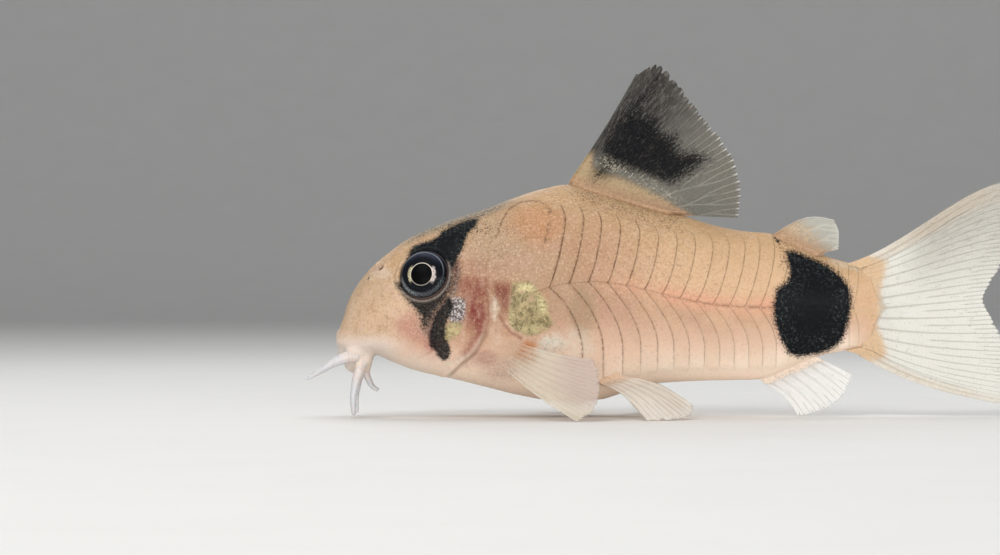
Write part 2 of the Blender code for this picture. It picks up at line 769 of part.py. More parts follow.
PECTORAL_ROOT = [(0.0, (11.3, 0.665)), (0.5, (11.7, 0.625)), (1.0, (12.2, 0.585))]
PECTORAL_TIPS = [
    (0.0, (16.8, 8.7, 0.0)), (0.25, (17.9, 8.75, 0.75)), (0.55, (18.35, 8.4, 2.0)), (0.8, (18.3, 7.8, 3.2)),
    (1.0, (17.9, 7.1, 4.2)),
]
PECTORAL_RAYS = 9
PELVIC_ROOT = [(0.0, (18.5, 0.78)), (1.0, (19.9, 0.765))]
PELVIC_TIPS = [
    (0.0, (21.6, 7.2, 0.0)), (0.4, (23.3, 6.6, 0.0)), (0.75, (24.7, 5.2, 0.25)), (1.0, (25.0, 3.9, 0.9)),
]
PELVIC_RAYS = 6


def paired_fin(name, side, rays, roots, tips, bow, surface, spine, rows):
    """A fin on one flank, with its root laid on the skin."""
    gap = NODE_GAP + (0.0 if spine else PLATE_RAISED / 2)
    laid = [(share, on_side(skin_point(along, turn, gap), side)) for share, (along, turn) in roots]
    spread = [(share, on_side(place, side)) for share, place in tips]

    def side_bow(share, reach):
        return Vector(on_side(bow(share, reach), side))

    return fin(name, rays, across(laid), spread, side_bow, surface, spine=spine, gap=gap, rows=rows)


def make_paired_fins(surface):
    def pectoral_bow(share, reach):
        return Vector((-0.2, 0.5, -0.15)) * math.sin(math.pi * reach)

    def pelvic_bow(share, reach):
        return Vector((0.0, 0.1, 0.45)) * math.sin(math.pi * reach)

    for side_name, side in SIDES.items():
        paired_fin(
            "pectoral_fin_" + side_name, side, PECTORAL_RAYS, PECTORAL_ROOT, PECTORAL_TIPS, pectoral_bow,
            surface, spine=True, rows=7,
        )
        paired_fin(
            "pelvic_fin_" + side_name, side, PELVIC_RAYS, PELVIC_ROOT, PELVIC_TIPS, pelvic_bow, surface,
            spine=False, rows=6,
        )


# Barbels, as corners of their paths and their thickness at root and tip
BARBELS = {
    "upper_barbel": (
        [(1.02, 2.1, 4.0), (0.0, 2.4, 3.85), (-0.95, 2.65, 3.35), (BARBEL_TIP_ALONG, 2.85, 2.65)],
        0.44, 0.13,
    ),
    "lower_barbel": (
        [(1.77, 1.93, 3.42), (1.45, 2.25, 2.4), (1.3, 2.4, 1.2), (1.35, 2.5, 0.0)],
        0.42, 0.17,
    ),
    "chin_barbel": (
        [(2.1, 0.62, 3.22), (2.3, 0.7, 2.6), (2.6, 0.75, 2.1), (3.0, 0.8, 1.75)],
        0.32, 0.13,
    ),
}
BARBEL_POINTS = 8


def make_barbels(surface):
    for name, (corners, root, tip) in BARBELS.items():
        for side_name, side in SIDES.items():
            path = [on_side(point, side) for point in bent_path(corners, BARBEL_POINTS)]
            radii = [root + (tip - root) * i / (BARBEL_POINTS - 1) for i in range(BARBEL_POINTS)]
            barbel = tube(name + "_" + side_name, path, radii, surface)
            for vert in barbel.data.vertices:
                vert.co.z = max(vert.co.z, 0.0)


def clear_scene():
    for found in list(bpy.data.objects):
        bpy.data.objects.remove(found)


def main():
    clear_scene()
    face = material("face_flesh", FACE_FLESH, 0.45)
    flesh = material("pink_flesh", PINK_FLESH, 0.45)
    pale_fin = material("pale_fin", FIN_PALE, 0.4)
    dark_fin = material("dark_fin", FIN_DARK, 0.5)
    barbel = material("barbel_flesh", BARBEL_PALE, 0.5)
    eye = material("eye_dark", EYE_DARK, 0.1)
    make_head(face)
    make_trunk(flesh)
    make_tail_stalk(flesh)
    for side_name, side in SIDES.items():
        make_eye(side_name, side, eye)
    make_dorsal_fin(dark_fin)
    make_adipose_fin(pale_fin)
    make_anal_fin(pale_fin)
    make_caudal_fin(pale_fin)
    make_paired_fins(pale_fin)
    make_barbels(barbel)


main()
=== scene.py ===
"""A panda corydoras at life size, resting on the floor on its fins and barbels.

One skin covers the head, trunk and tail stalk, with the lips in its own surface. Over it lie the bony
plates, and from it grow the eyes, nostrils, barbels and fins, each in the place of its own solid. Sizes are
in millimetres: "along" runs back from the tip of the snout, "out" from the midline and "height" up from the
floor. "turn" goes round the body from 0 on the back over 0.5 at the widest place to 1 under the belly.
"""

import math

import bmesh
import bpy
import numpy as np
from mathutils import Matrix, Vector


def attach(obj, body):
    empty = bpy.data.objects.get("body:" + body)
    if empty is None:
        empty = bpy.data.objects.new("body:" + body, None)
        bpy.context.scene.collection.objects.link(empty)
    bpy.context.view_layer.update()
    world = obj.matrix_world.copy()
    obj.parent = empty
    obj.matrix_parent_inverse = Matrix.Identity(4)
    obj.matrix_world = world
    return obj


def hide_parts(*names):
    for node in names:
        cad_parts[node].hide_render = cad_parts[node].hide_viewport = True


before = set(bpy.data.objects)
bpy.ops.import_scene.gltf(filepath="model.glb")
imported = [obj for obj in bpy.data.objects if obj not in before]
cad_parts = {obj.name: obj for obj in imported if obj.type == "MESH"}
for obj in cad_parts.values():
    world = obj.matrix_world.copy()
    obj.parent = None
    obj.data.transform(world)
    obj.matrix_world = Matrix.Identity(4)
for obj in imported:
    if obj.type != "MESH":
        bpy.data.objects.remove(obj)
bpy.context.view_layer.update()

MM = 0.001
SIDES = {"left": -1.0, "right": 1.0}

# The body's outline and sections, as (along, value)
TAIL_TIP_ALONG = 49.4
BARBEL_TIP_ALONG = -1.9
MIDDLE_ALONG = (TAIL_TIP_ALONG + BARBEL_TIP_ALONG) / 2
BACK_HEIGHT = [
    (0.0, 5.7), (0.12, 6.3), (0.45, 7.15), (1.0, 8.4), (1.8, 9.7), (2.8, 10.8), (3.9, 11.7), (5.2, 12.6),
    (6.7, 13.3), (8.4, 13.95), (10.4, 14.6), (12.5, 15.4), (14.4, 16.0), (16.3, 16.35), (18.6, 15.8),
    (21.5, 14.95), (24.3, 14.2), (26.7, 13.45), (28.8, 13.05), (30.6, 12.9), (32.6, 12.1), (34.2, 11.4),
    (36.0, 10.85), (38.6, 10.2),
]
BELLY_HEIGHT = [
    (0.0, 5.7), (0.1, 5.1), (0.35, 4.55), (1.0, 4.3), (1.8, 4.3), (2.8, 4.35), (3.8, 3.95), (5.2, 3.4),
    (7.3, 2.9), (8.8, 2.55), (10.8, 2.05), (12.6, 1.6), (14.8, 1.2), (16.8, 1.05), (18.6, 1.2),
    (20.4, 1.75), (22.2, 2.3), (25.6, 2.5), (29.8, 2.6), (32.0, 3.4), (34.4, 4.35), (36.0, 4.65),
    (38.6, 5.1),
]
HALF_WIDTH = [
    (0.0, 0.0), (0.1, 1.0), (0.35, 1.6), (1.0, 2.3), (1.8, 2.8), (2.8, 3.2), (4.0, 3.55), (6.0, 4.0),
    (8.4, 4.5), (10.8, 4.95), (12.8, 5.1), (15.0, 5.0), (18.5, 4.5), (22.0, 3.75), (26.0, 2.9),
    (30.0, 2.15), (34.0, 1.5), (36.0, 1.12), (37.2, 0.72), (38.2, 0.34), (38.6, 0.24),
]
WIDEST_HEIGHT = [
    (0.0, 5.7), (1.0, 5.9), (3.0, 6.0), (6.0, 6.3), (10.0, 7.1), (13.0, 8.4), (16.0, 9.35), (18.0, 9.5),
    (20.0, 9.3), (22.0, 8.85), (24.2, 8.3), (27.0, 7.85), (30.0, 7.7), (34.0, 7.7), (38.6, 7.65),
]
BACK_POWER = [(0.0, 2.2), (3.0, 2.3), (7.0, 2.3), (12.0, 1.9), (20.0, 1.75), (30.0, 1.85), (38.6, 2.0)]
BELLY_POWER = [(0.0, 2.2), (6.0, 2.6), (13.0, 2.8), (20.0, 2.7), (28.0, 2.2), (38.6, 2.0)]
GILL_EDGE = [(0.0, 12.6), (0.25, 11.1), (0.4, 10.55), (0.5, 10.75), (0.6, 10.0), (0.75, 8.5), (1.0, 7.4)]

# Bony plates
PLATE_LINES = 23
FIRST_PLATE_ALONG = 13.45
FIRST_PLATE_PITCH = 1.42
LAST_PLATE_PITCH = 0.80
PLATE_OVERLAP = 0.1
PLATE_FRONT_RAISED = -0.05
PLATE_REAR_RAISED = 0.06
PLATE_THICK = 0.14
UPPER_LEAN = [
    (13.0, 1.35), (15.0, 1.3), (18.0, 1.05), (21.0, 1.15), (25.0, 1.35), (31.0, 1.15), (36.0, 0.5),
    (38.4, -0.8),
]
LOWER_LEAN = [(13.0, 2.2), (17.0, 2.4), (25.0, 1.7), (31.0, 1.1), (36.0, 0.5), (38.4, -0.8)]
LOWER_LEAN_DEPTH = 0.6
STALK_END_ALONG = 38.35
LAST_ALONG = 38.6
PLATES_IN_ROW = PLATE_LINES - 3

# Steps and limits of the reckoning
TINY = 1e-6
SLOPE_STEP = 0.02
FINE_TURNS = 300

# Eyes
EYE_ALONG = 6.25
EYE_TURN = 0.335
EYE_RADIUS = 1.76
EYE_DEPTH = 1.1
EYE_SUNK = 0.3
PUPIL_PLACE = (0.07, -0.19)
EYE_CHART = 4.0
EYE_COLUMNS = 96
EYE_RINGS = 64

# Mouth and nostrils
MOUTH_CORNER = (2.15, 1.5, 4.0)
UPPER_LIP_FRONT = (0.6, 0.0, 4.3)
LOWER_LIP_FRONT = (1.05, 0.0, 3.7)
JAW_CENTRE = np.array([1.55, 0.0, 3.8])
JAW_RADII = np.array([0.98, 1.38, 0.78])
MOUTH_LINE = np.array([(0.62, 0.0, 3.98), (0.9, 0.75, 3.95), (1.75, 1.4, 3.9), (2.2, 1.55, 3.95)])
UPPER_LIP_HALF = 0.36
LOWER_LIP_HALF = 0.28
LIP_CORNERS = 25
LIP_SWELL_REACH = (1.5, -0.2, 52)
NOSTRILS = {"front": (2.45, 0.2, 0.16), "rear": (3.25, 0.185, 0.52)}
NOSTRIL_LEAN = {"front": np.array([-0.4, 0.0, 0.0]), "rear": np.array([-0.45, 0.0, 1.0])}
NOSTRIL_RADIUS = 0.16
NOSTRIL_WALL = 0.05
NOSTRIL_FLARE = 0.5
NOSTRIL_CORNERS = 41
NOSTRIL_ROWS = 8

# The skin's net: spacing of its rings and how many columns lie from back to belly
SNOUT_LENGTH = 1.2
SNOUT_RINGS = 30
HEAD_RING_STEP = 0.064
HEAD_NET_END = 15.2
BODY_RING_STEP = 0.3
SKIN_END_RINGS = 8
SKIN_END_REACH = 0.35
SKIN_HALF_COLUMNS = 148

# Marks on the skin, as corners in side view, (along, height)
MASK_NAPE = [
    (5.1, 10.9), (5.2, 11.6), (5.5, 12.0), (6.0, 12.2), (6.7, 12.4), (7.2, 12.7), (7.5, 13.1), (8.2, 13.5),
    (8.9, 13.9), (9.5, 14.1), (10.0, 14.1), (10.1, 13.9), (9.8, 13.3), (9.3, 12.8), (9.1, 12.3),
    (9.0, 11.7), (8.7, 11.3), (8.5, 10.8), (8.2, 10.3), (7.9, 9.9), (6.3, 10.1),
]
MASK_UNDER_EYE = [
    (4.3, 9.4), (4.6, 8.9), (4.9, 8.5), (5.3, 8.0), (5.7, 7.5), (5.9, 7.1), (6.0, 6.6), (6.1, 6.1),
    (6.5, 6.3), (6.7, 6.8), (7.0, 7.3), (7.4, 7.9), (7.8, 8.5), (8.1, 9.2), (8.2, 9.9), (6.3, 10.1),
]
CHEEK_BAR = [
    (8.0, 8.3), (7.7, 7.8), (7.2, 7.2), (7.0, 6.6), (6.8, 5.9), (6.8, 5.1), (7.2, 4.8), (7.3, 4.5),
    (7.6, 4.2), (7.9, 4.3), (8.0, 4.7), (7.9, 5.1), (7.6, 5.6), (7.6, 6.1), (7.7, 6.7), (8.0, 7.4),
    (8.2, 7.9),
]
TAIL_BLOT = [
    (31.6, 11.7), (32.2, 11.7), (32.7, 11.5), (33.6, 11.1), (34.5, 10.7), (35.5, 9.9), (36.1, 9.0),
    (36.2, 8.1), (36.1, 7.1), (35.6, 5.4), (34.9, 4.8), (34.2, 4.5), (32.4, 4.2), (31.7, 4.5), (31.1, 5.5),
    (30.7, 6.6), (30.6, 7.8), (30.8, 9.0), (31.6, 9.5), (31.8, 10.3), (31.6, 11.0),
]
CLEITHRUM_GOLD = [
    (12.4, 9.4), (13.0, 9.5), (13.6, 9.5), (14.2, 8.9), (14.7, 8.2), (14.9, 7.4), (15.2, 6.6), (14.7, 6.1),
    (13.8, 5.8), (13.1, 5.9), (12.4, 6.3), (12.1, 6.9), (12.2, 7.6), (12.3, 8.3),
]
WHITE_PATCH = [(14.4, 5.7), (15.3, 6.0), (16.0, 5.5), (16.1, 4.9), (15.3, 4.4), (14.5, 4.2), (14.0, 4.9)]
ORANGE_PATCH = [
    (12.9, 5.0), (13.3, 5.4), (14.2, 5.2), (14.0, 4.8), (14.4, 4.4), (14.0, 4.0), (13.2, 4.0), (12.6, 4.4),
]
OPERCLE_SILVER = [
    (8.1, 8.3), (8.6, 8.5), (9.1, 8.3), (9.2, 7.8), (9.1, 7.1), (8.8, 6.7), (8.2, 6.7), (7.9, 7.1),
    (8.0, 7.8),
]
OPERCLE_GOLD = [
    (8.1, 6.7), (8.6, 6.8), (9.0, 6.5), (8.8, 6.1), (8.5, 5.7), (8.0, 5.4), (7.7, 5.3), (7.6, 5.7),
    (7.7, 6.3),
]
GILL_RED = [
    (8.7, 9.7), (9.3, 10.0), (10.6, 9.7), (10.8, 9.0), (10.8, 8.0), (10.7, 7.1), (10.4, 6.2), (9.9, 5.4),
    (9.5, 4.8), (9.1, 4.4), (9.0, 4.6), (9.5, 5.4), (9.7, 6.0), (9.3, 6.4), (9.1, 7.0), (9.2, 7.8),
    (8.9, 8.3), (8.6, 9.0),
]
GILL_DEEP = [
    (9.2, 8.9), (9.8, 8.3), (10.7, 8.0), (10.7, 7.0), (10.4, 6.1), (9.9, 5.4), (9.4, 4.7), (9.3, 4.8),
    (9.8, 5.8), (9.9, 6.4), (9.4, 6.4), (9.1, 7.1), (9.3, 8.1),
]
BEHIND_GILL = [
    (11.2, 9.4), (12.2, 9.3), (12.2, 8.3), (12.0, 7.5), (11.8, 7.4), (11.6, 8.1), (11.4, 8.5), (11.2, 8.6),
]
GILL_GREEN = [(11.0, 8.5), (11.3, 8.3), (11.4, 7.6), (11.2, 6.9), (11.0, 7.2), (10.9, 7.8)]
CHEEK_PINK = [
    (4.3, 6.7), (4.9, 7.1), (5.5, 7.4), (5.9, 6.9), (6.3, 6.0), (6.8, 5.4), (7.2, 4.7), (6.7, 4.5),
    (6.0, 5.1), (5.2, 5.4), (4.5, 5.9),
]
EYE_DUSK = [
    (6.6, 7.1), (7.2, 7.8), (7.7, 8.4), (8.1, 9.0), (8.3, 9.8), (8.3, 10.7), (8.6, 10.7), (8.6, 9.8),
    (8.4, 8.9), (8.1, 8.3), (7.7, 7.8), (7.2, 7.1), (6.9, 6.4), (6.8, 5.6), (6.5, 6.0),
]
DORSAL_BLACK = [
    (18.2, 16.8), (18.4, 17.8), (18.7, 18.9), (19.2, 20.1), (19.7, 20.9), (20.6, 21.9), (22.0, 23.3),
    (22.9, 24.2), (22.9, 23.9), (22.2, 22.7), (21.5, 21.9), (21.8, 21.3), (22.7, 21.3), (22.9, 20.1),
    (23.9, 19.8), (24.3, 18.7), (25.2, 18.7), (26.2, 18.2), (25.3, 17.3), (24.2, 16.6), (23.4, 16.3),
    (22.0, 16.7), (20.8, 17.0), (19.8, 17.3), (19.1, 17.0),
]
NAPE_ARC = [
    (11.3, 12.6), (11.5, 13.3), (11.8, 14.0), (12.2, 14.6), (12.8, 15.0), (13.5, 15.15), (14.3, 15.1),
    (14.8, 14.8), (15.0, 14.4), (14.95, 13.7), (14.77, 12.8), (14.6, 12.2),
]
OPERCLE_RIM = [(10.4, 5.9), (9.9, 5.1), (9.3, 4.4), (8.5, 3.9), (7.7, 3.7)]
EYE_SUTURE = [(8.7, 10.2), (8.5, 9.6), (8.35, 8.9), (8.2, 8.5)]
SHOULDER_EDGE = [(11.5, 7.2), (11.8, 6.6), (12.2, 6.1), (13.0, 5.6)]


def curve(points):
    """A smooth curve through (place, value) points that doesn't overshoot between them, for arrays."""
    at, value = np.array(points, float).T
    step = np.diff(value) / np.diff(at)
    slope = np.concatenate([step[:1], np.zeros(len(step) - 1), step[-1:]])
    rising = step[:-1] * step[1:] > 0
    slope[1:-1][rising] = 2 * step[:-1][rising] * step[1:][rising] / (step[:-1][rising] + step[1:][rising])

    def read(place):
        place = np.clip(place, at[0], at[-1])
        i = np.clip(np.searchsorted(at, place, side="right") - 1, 0, len(at) - 2)
        width = at[i + 1] - at[i]
        t = (place - at[i]) / width
        return (
            value[i] * (1 + 2 * t) * (1 - t) ** 2
            + value[i + 1] * t * t * (3 - 2 * t)
            + slope[i] * width * t * (1 - t) ** 2
            - slope[i + 1] * width * t * t * (1 - t)
        )

    return read


back_height = curve(BACK_HEIGHT)
belly_height = curve(BELLY_HEIGHT)
half_width = curve(HALF_WIDTH)
widest_height = curve(WIDEST_HEIGHT)
back_power = curve(BACK_POWER)
belly_power = curve(BELLY_POWER)
gill_edge = curve(GILL_EDGE)
upper_lean = curve(UPPER_LEAN)
lower_lean = curve(LOWER_LEAN)


def smooth(low, high, value):
    """Rises softly from 0 at low to 1 at high."""
    t = np.clip((value - low) / (high - low), 0, 1)
    return t * t * (3 - 2 * t)


def bump(centre, spread, value):
    """1 at the centre, falling softly to 0 at the spread on both sides."""
    return smooth(spread, 0.0, np.abs(value - centre))


def section(along, turn):
    """Height of the widest place, how far back or belly lies from it, and how full the curve between is."""
    above = turn <= 0.5
    middle = widest_height(along)
    reach = np.where(above, back_height(along), belly_height(along)) - middle
    return middle, reach, np.where(above, back_power(along), belly_power(along))


def skin(along, turn):
    """Points of the right side's skin."""
    along, turn = np.broadcast_arrays(np.asarray(along, float), np.asarray(turn, float))
    middle, reach, power = section(along, turn)
    out = np.clip(np.sin(np.pi * turn), 0, 1) ** (2 / power)
    up = np.abs(np.cos(np.pi * turn)) ** (2 / power)
    return np.stack([along, half_width(along) * out, middle + reach * up], -1)


def unit(vectors):
    return vectors / np.maximum(np.linalg.norm(vectors, axis=-1, keepdims=True), TINY**2)


def outward(along, turn):
    """The outward direction of the right side's skin."""
    along, turn = np.broadcast_arrays(np.asarray(along, float), np.asarray(turn, float))
    ahead, behind = np.maximum(along - SLOPE_STEP, 0.0), along + SLOPE_STEP
    back = (skin(behind, turn) - skin(ahead, turn)) / (behind - ahead)[..., None]
    _, reach, power = section(along, turn)
    out = np.clip(np.sin(np.pi * turn), 0, 1) ** (2 - 2 / power) / np.maximum(half_width(along), 0.05)
    up = np.abs(np.cos(np.pi * turn)) ** (2 - 2 / power) / np.where(reach == 0, TINY, reach)
    down = np.stack([np.zeros_like(out), up, -out], -1)
    return unit(np.cross(back, down))


def raised_skin(along, turn, raised):
    return skin(along, turn) + outward(along, turn) * np.asarray(raised)[..., None]


def lean_at(along, turn):
    """How far behind its widest place a plate's edge lies at this turn."""
    rise = np.abs(np.cos(np.pi * turn))
    fall = np.minimum(1.0, rise ** (2 / belly_power(along)) / LOWER_LEAN_DEPTH)
    upper = upper_lean(along) * rise * (2 - rise)
    return np.where(turn <= 0.5, upper, lower_lean(along) * fall * (2 - fall))


def plate_line(number):
    """Where the edge of plate row number crosses the widest place."""
    closer = (LAST_PLATE_PITCH - FIRST_PLATE_PITCH) * number / (PLATE_LINES - 1)
    return FIRST_PLATE_ALONG + number * (FIRST_PLATE_PITCH + closer / 2)


def even_turns(places, start, end, count, leaning=False):
    """Turns that lie evenly over the skin from start to end, one row for each place along."""
    half = np.linspace(0, 1, FINE_TURNS)
    for _ in range(2):
        half = half * half * (3 - 2 * half)
    fine = np.concatenate([0.5 * half, 0.5 + 0.5 * half[1:]])
    at = np.broadcast_to(np.asarray(places, float)[:, None], (len(places), len(fine)))
    turn = np.broadcast_to(fine, at.shape)
    points = skin(np.minimum(at + lean_at(at, turn), LAST_ALONG) if leaning else at, turn)
    steps = np.linalg.norm(np.diff(points, axis=1), axis=2) + TINY
    length = np.concatenate([np.zeros((len(at), 1)), np.cumsum(steps, axis=1)], axis=1)
    rows = []
    for reach in length:
        begin, finish = np.interp([start, end], fine, reach)
        rows.append(np.interp(np.linspace(begin, finish, count), reach, fine))
    return np.array(rows)


def outline_distance(along, height, corners):
    """Distance from the outline through the corners, less than 0 inside."""
    corners = np.array(corners, float)
    nearest = np.full(along.shape, np.inf)
    inside = np.zeros(along.shape, bool)
    for (x1, z1), (x2, z2) in zip(corners, np.roll(corners, -1, axis=0)):
        edge = np.array([x2 - x1, z2 - z1])
        share = np.clip(((along - x1) * edge[0] + (height - z1) * edge[1]) / (edge @ edge), 0, 1)
        nearest = np.minimum(nearest, np.hypot(along - x1 - share * edge[0], height - z1 - share * edge[1]))
        crosses = (z1 > height) != (z2 > height)
        with np.errstate(divide="ignore", invalid="ignore"):
            inside ^= crosses & (along < x1 + (height - z1) * edge[0] / edge[1])
    return np.where(inside, -nearest, nearest)


def patch(along, height, corners, soft=0.35):
    return smooth(soft, -soft, outline_distance(along, height, corners))


def spot(along, height, centre, radii):
    """A round or oval mark, full in its middle half and gone at one and a half times its size."""
    reach = np.hypot((along - centre[0]) / radii[0], (height - centre[1]) / radii[1])
    return smooth(1.5, 0.5, reach)


def beside(along, height, corners, reach):
    """1 on an open line through the corners, falling softly to 0 at this reach on both sides."""
    flat = np.stack([along, np.zeros_like(along), height], -1)
    line = np.array([(x, 0.0, z) for x, z in corners])
    return smooth(reach, 0.0, from_line(flat, line))


def strongest(*shares):
    return np.maximum.reduce(shares)


def skin_marks(points, turn):
    """Shares of each colour at points of the skin or the plates."""
    along, height = points[:, 0], points[:, 2]

    def oval(full, centre, radii):
        return full * spot(along, height, centre, radii)

    def area(full, corners, soft):
        return full * patch(along, height, corners, soft)

    def line(full, corners, reach):
        return full * beside(along, height, corners, reach)

    eye_distance = np.linalg.norm(points - eye_centre_on_skin(), axis=1)
    behind_eye = smooth(7.0, 7.9, along) * smooth(11.4, 10.6, height) * smooth(7.2, 8.0, height)
    stripe = bump(0.0, 1.2, height - widest_height(along) - 0.1)
    rim = smooth(0.17, 0.07, turn) * smooth(0.2, 1.2, along) * smooth(15.0, 12.0, along)
    crown = smooth(0.16, 0.08, turn) * smooth(3.9, 6.1, along) * smooth(13.5, 11.0, along)
    nape = oval(1.0, (11.2, 12.4), (2.3, 1.9)) * smooth(9.0, 9.6, along + 0.3 * (12.5 - height))
    low_mask = 0.78 + 0.22 * smooth(6.6, 8.4, height)
    mask = (MASK_NAPE, MASK_UNDER_EYE, CHEEK_BAR)
    black = strongest(
        area(1.0, MASK_NAPE, 0.4),
        area(low_mask, MASK_UNDER_EYE, 0.5),
        area(1.0, CHEEK_BAR, 0.45),
        area(1.0, TAIL_BLOT, 0.5),
        0.95 * smooth(0.4, -0.1, outline_distance(along, height, CHEEK_BAR)),
        oval(0.9, (31.05, 12.8), (0.27, 0.6)),
    )
    dust = strongest(
        oval(0.8, (10.4, 13.2), (0.8, 0.5)),
        area(1.0, TAIL_BLOT, 0.9),
        *(area(1.0, corners, 0.9) for corners in mask),
    )
    core = strongest(area(1.0, TAIL_BLOT, 2.6), *(area(1.0, corners, 1.2) for corners in mask))
    below_back = back_height(along) - height
    upper_side = smooth(0.42, 0.1, turn) * smooth(0.5, 4.0, along)
    lower_side = smooth(0.42, 0.6, turn) * smooth(0.95, 0.75, turn)
    return {
        "back": strongest(upper_side, 0.5 * rim) * smooth(38.2, 36.0, along),
        "rear": smooth(16.0, 26.0, along),
        "low": smooth(0.52, 0.66, turn) * smooth(38.4, 36.0, along),
        # Pale belly, partly painted light from below
        "belly": smooth(0.6, 0.8, turn) * smooth(38.0, 35.5, along),
        "rosy": smooth(14.0, 20.0, along) * lower_side * smooth(34.5, 30.0, along),
        "sand": smooth(9.5, 4.5, along),
        "grey": strongest(
            0.75 * nape,
            0.4 * smooth(33.6, 35.2, along) * smooth(0.8, 0.1, below_back) * smooth(37.8, 36.2, along),
            oval(0.45, (13.2, 4.6), (1.6, 0.9)),
            oval(0.35, (2.6, 9.2), (1.6, 1.6)),
            oval(0.5, (15.6, 8.3), (0.7, 1.2)),
            oval(0.5, (14.2, 10.4), (0.9, 0.6)),
            oval(0.55, (14.0, 10.4), (2.2, 1.3)),
            oval(0.85, (17.2, 7.6), (1.0, 1.7)),
            oval(0.5, (16.2, 8.9), (0.6, 0.9)),
        ),
        "stripe": stripe * smooth(17.0, 23.0, along) * smooth(32.5, 30.5, along),
        "black": black * (1 - 0.65 * crown),
        "dust": np.clip(dust + 0.9 * crown, 0, 1),
        "core": core,
        "thin": smooth(9.4, 8.2, height) * smooth(11.0, 9.5, along),
        "cloudy": smooth(16.5, 12.5, along).clip(0.35) * smooth(0.85, 0.55, turn),
        "grain": (
            (0.3 + 0.7 * smooth(0.62, 0.42, turn))
            * (0.45 + 0.55 * smooth(30.0, 20.0, along) * (0.5 + 0.5 * smooth(4.5, 9.0, along)))
        ),
        "rose": area(0.8, CHEEK_PINK, 0.8),
        "mottle": smooth(15.6, 17.2, along) * smooth(25.5, 23.5, along) * smooth(1.3, 0.0, below_back),
        "eye_rim": bump(1.9, 0.16, eye_distance) * smooth(10.2, 9.4, height - 0.6 * (along - EYE_ALONG)),
        "seam": line(0.9, NAPE_ARC, 0.13) * smooth(0.5, 0.42, turn),
        "crown": crown,
        "dusk": strongest(
            smooth(0.5, -0.1, outline_distance(along, height, EYE_DUSK)),
            bump(1.95, 0.45, eye_distance) * behind_eye,
            area(0.6, OPERCLE_SILVER, 0.3),
        ),
        "blush": strongest(
            area(0.15, CHEEK_PINK, 0.5),
            area(0.8, GILL_RED, 0.45),
            area(1.0, GILL_DEEP, 0.6),
            area(0.75, BEHIND_GILL, 0.4),
            oval(0.55, (6.9, 5.7), (0.35, 0.9)),
            oval(0.4, (8.6, 10.4), (0.4, 0.9)),
            oval(0.25, (9.6, 10.4), (1.1, 0.7)),
            line(0.45, SHOULDER_EDGE, 0.2),
            oval(0.35, (10.6, 4.3), (0.8, 0.5)),
        ),
        "umber": strongest(
            area(1.0, BEHIND_GILL, 0.5),
            line(0.5, SHOULDER_EDGE, 0.16),
            oval(0.22, (17.2, 7.6), (0.8, 1.4)),
        ),
        "gold": strongest(
            area(1.0, CLEITHRUM_GOLD, 0.3),
            area(1.0, OPERCLE_GOLD, 0.25),
        ),
        "bright": strongest(
            oval(0.7, (8.3, 6.1), (0.5, 0.5)),
            oval(1.0, (13.4, 9.1), (0.7, 0.3)),
            oval(1.0, (14.5, 8.1), (0.35, 0.8)),
            oval(0.6, (12.3, 6.7), (0.25, 0.9)),
            oval(0.45, (13.8, 6.2), (1.0, 0.35)),
        ),
        "silver": strongest(
            area(0.9, OPERCLE_SILVER, 0.25),
            area(0.32, WHITE_PATCH, 0.3),
        ),
        "milk": strongest(
            area(1.0, WHITE_PATCH, 0.4),
            area(0.75, GILL_GREEN, 0.25),
            line(0.75, EYE_SUTURE, 0.16),
            oval(0.85, (38.8, 7.65), (0.65, 0.8)),
            line(0.55, OPERCLE_RIM, 0.22),
            0.45 * smooth(34.4, 35.3, along) * smooth(0.7, 0.1, below_back) * smooth(38.0, 36.8, along),
            oval(0.5, (16.8, 5.2), (1.3, 1.1)),
        ),
        "orange": strongest(area(1.0, ORANGE_PATCH, 0.3), oval(0.4, (14.0, 13.6), (1.8, 1.3))),
        "mauve": strongest(
            oval(0.3, (11.6, 10.9), (2.0, 1.0)),
            oval(0.35, (9.8, 4.2), (1.4, 0.6)),
            oval(0.55, (11.6, 3.5), (1.4, 0.8)),
            oval(0.35, (7.0, 5.2), (0.6, 0.9)),
        ),
        "pale": strongest(
            smooth(6.3, 4.9, height) * smooth(6.0, 2.8, along),
            # Painted rim light: a pale edge along the front of the snout
            0.8 * smooth(0.5, 0.0, along) * smooth(7.6, 5.8, height),
            0.35 * smooth(5.2, 4.2, height) * smooth(9.5, 6.0, along),
            oval(0.12, (11.2, 6.2), (0.45, 1.9)),
            oval(0.35, (3.3, 10.1), (0.7, 0.4)),
        ),
        "freckle": np.clip(
            0.35 * smooth(0.34, 0.1, turn) * smooth(1.5, 4.0, along)
            + 0.15 * smooth(0.5, 0.35, turn) * smooth(12.0, 16.0, along)
            + 0.65 * nape
            + area(0.8, CHEEK_PINK, 0.7) * smooth(4.3, 6.2, along)
            + 0.15 * smooth(8.0, 3.0, along) * smooth(5.0, 7.0, height)
            + 0.8 * bump(37.75, 0.3, along) * bump(6.8, 1.7, height)
            + 0.7 * smooth(15.6, 17.2, along) * smooth(25.5, 23.5, along) * smooth(2.2, 0.3, below_back)
            + 0.8 * bump(31.3, 0.7, along) * smooth(9.5, 10.8, height),
            0, 1,
        ),
        "glint": np.clip(
            0.25 * smooth(7.5, 3.5, along) * smooth(5.6, 7.5, height) * smooth(0.08, 0.2, turn)
            + 0.3 * smooth(0.36, 0.1, turn) * smooth(24.0, 12.0, along) * (1 - crown)
            + 0.25 * nape,
            0, 1,
        ),
    }


def eye_centre_on_skin():
    return skin(EYE_ALONG, EYE_TURN)


def metres(points):
    """Points in millimetres as points of the part's own frame."""
    return (np.asarray(points, float) - [MIDDLE_ALONG, 0, 0]) * MM


def corners_of(piece):
    flat = np.empty(len(piece.data.vertices) * 3)
    piece.data.vertices.foreach_get("co", flat)
    return flat.reshape(-1, 3)


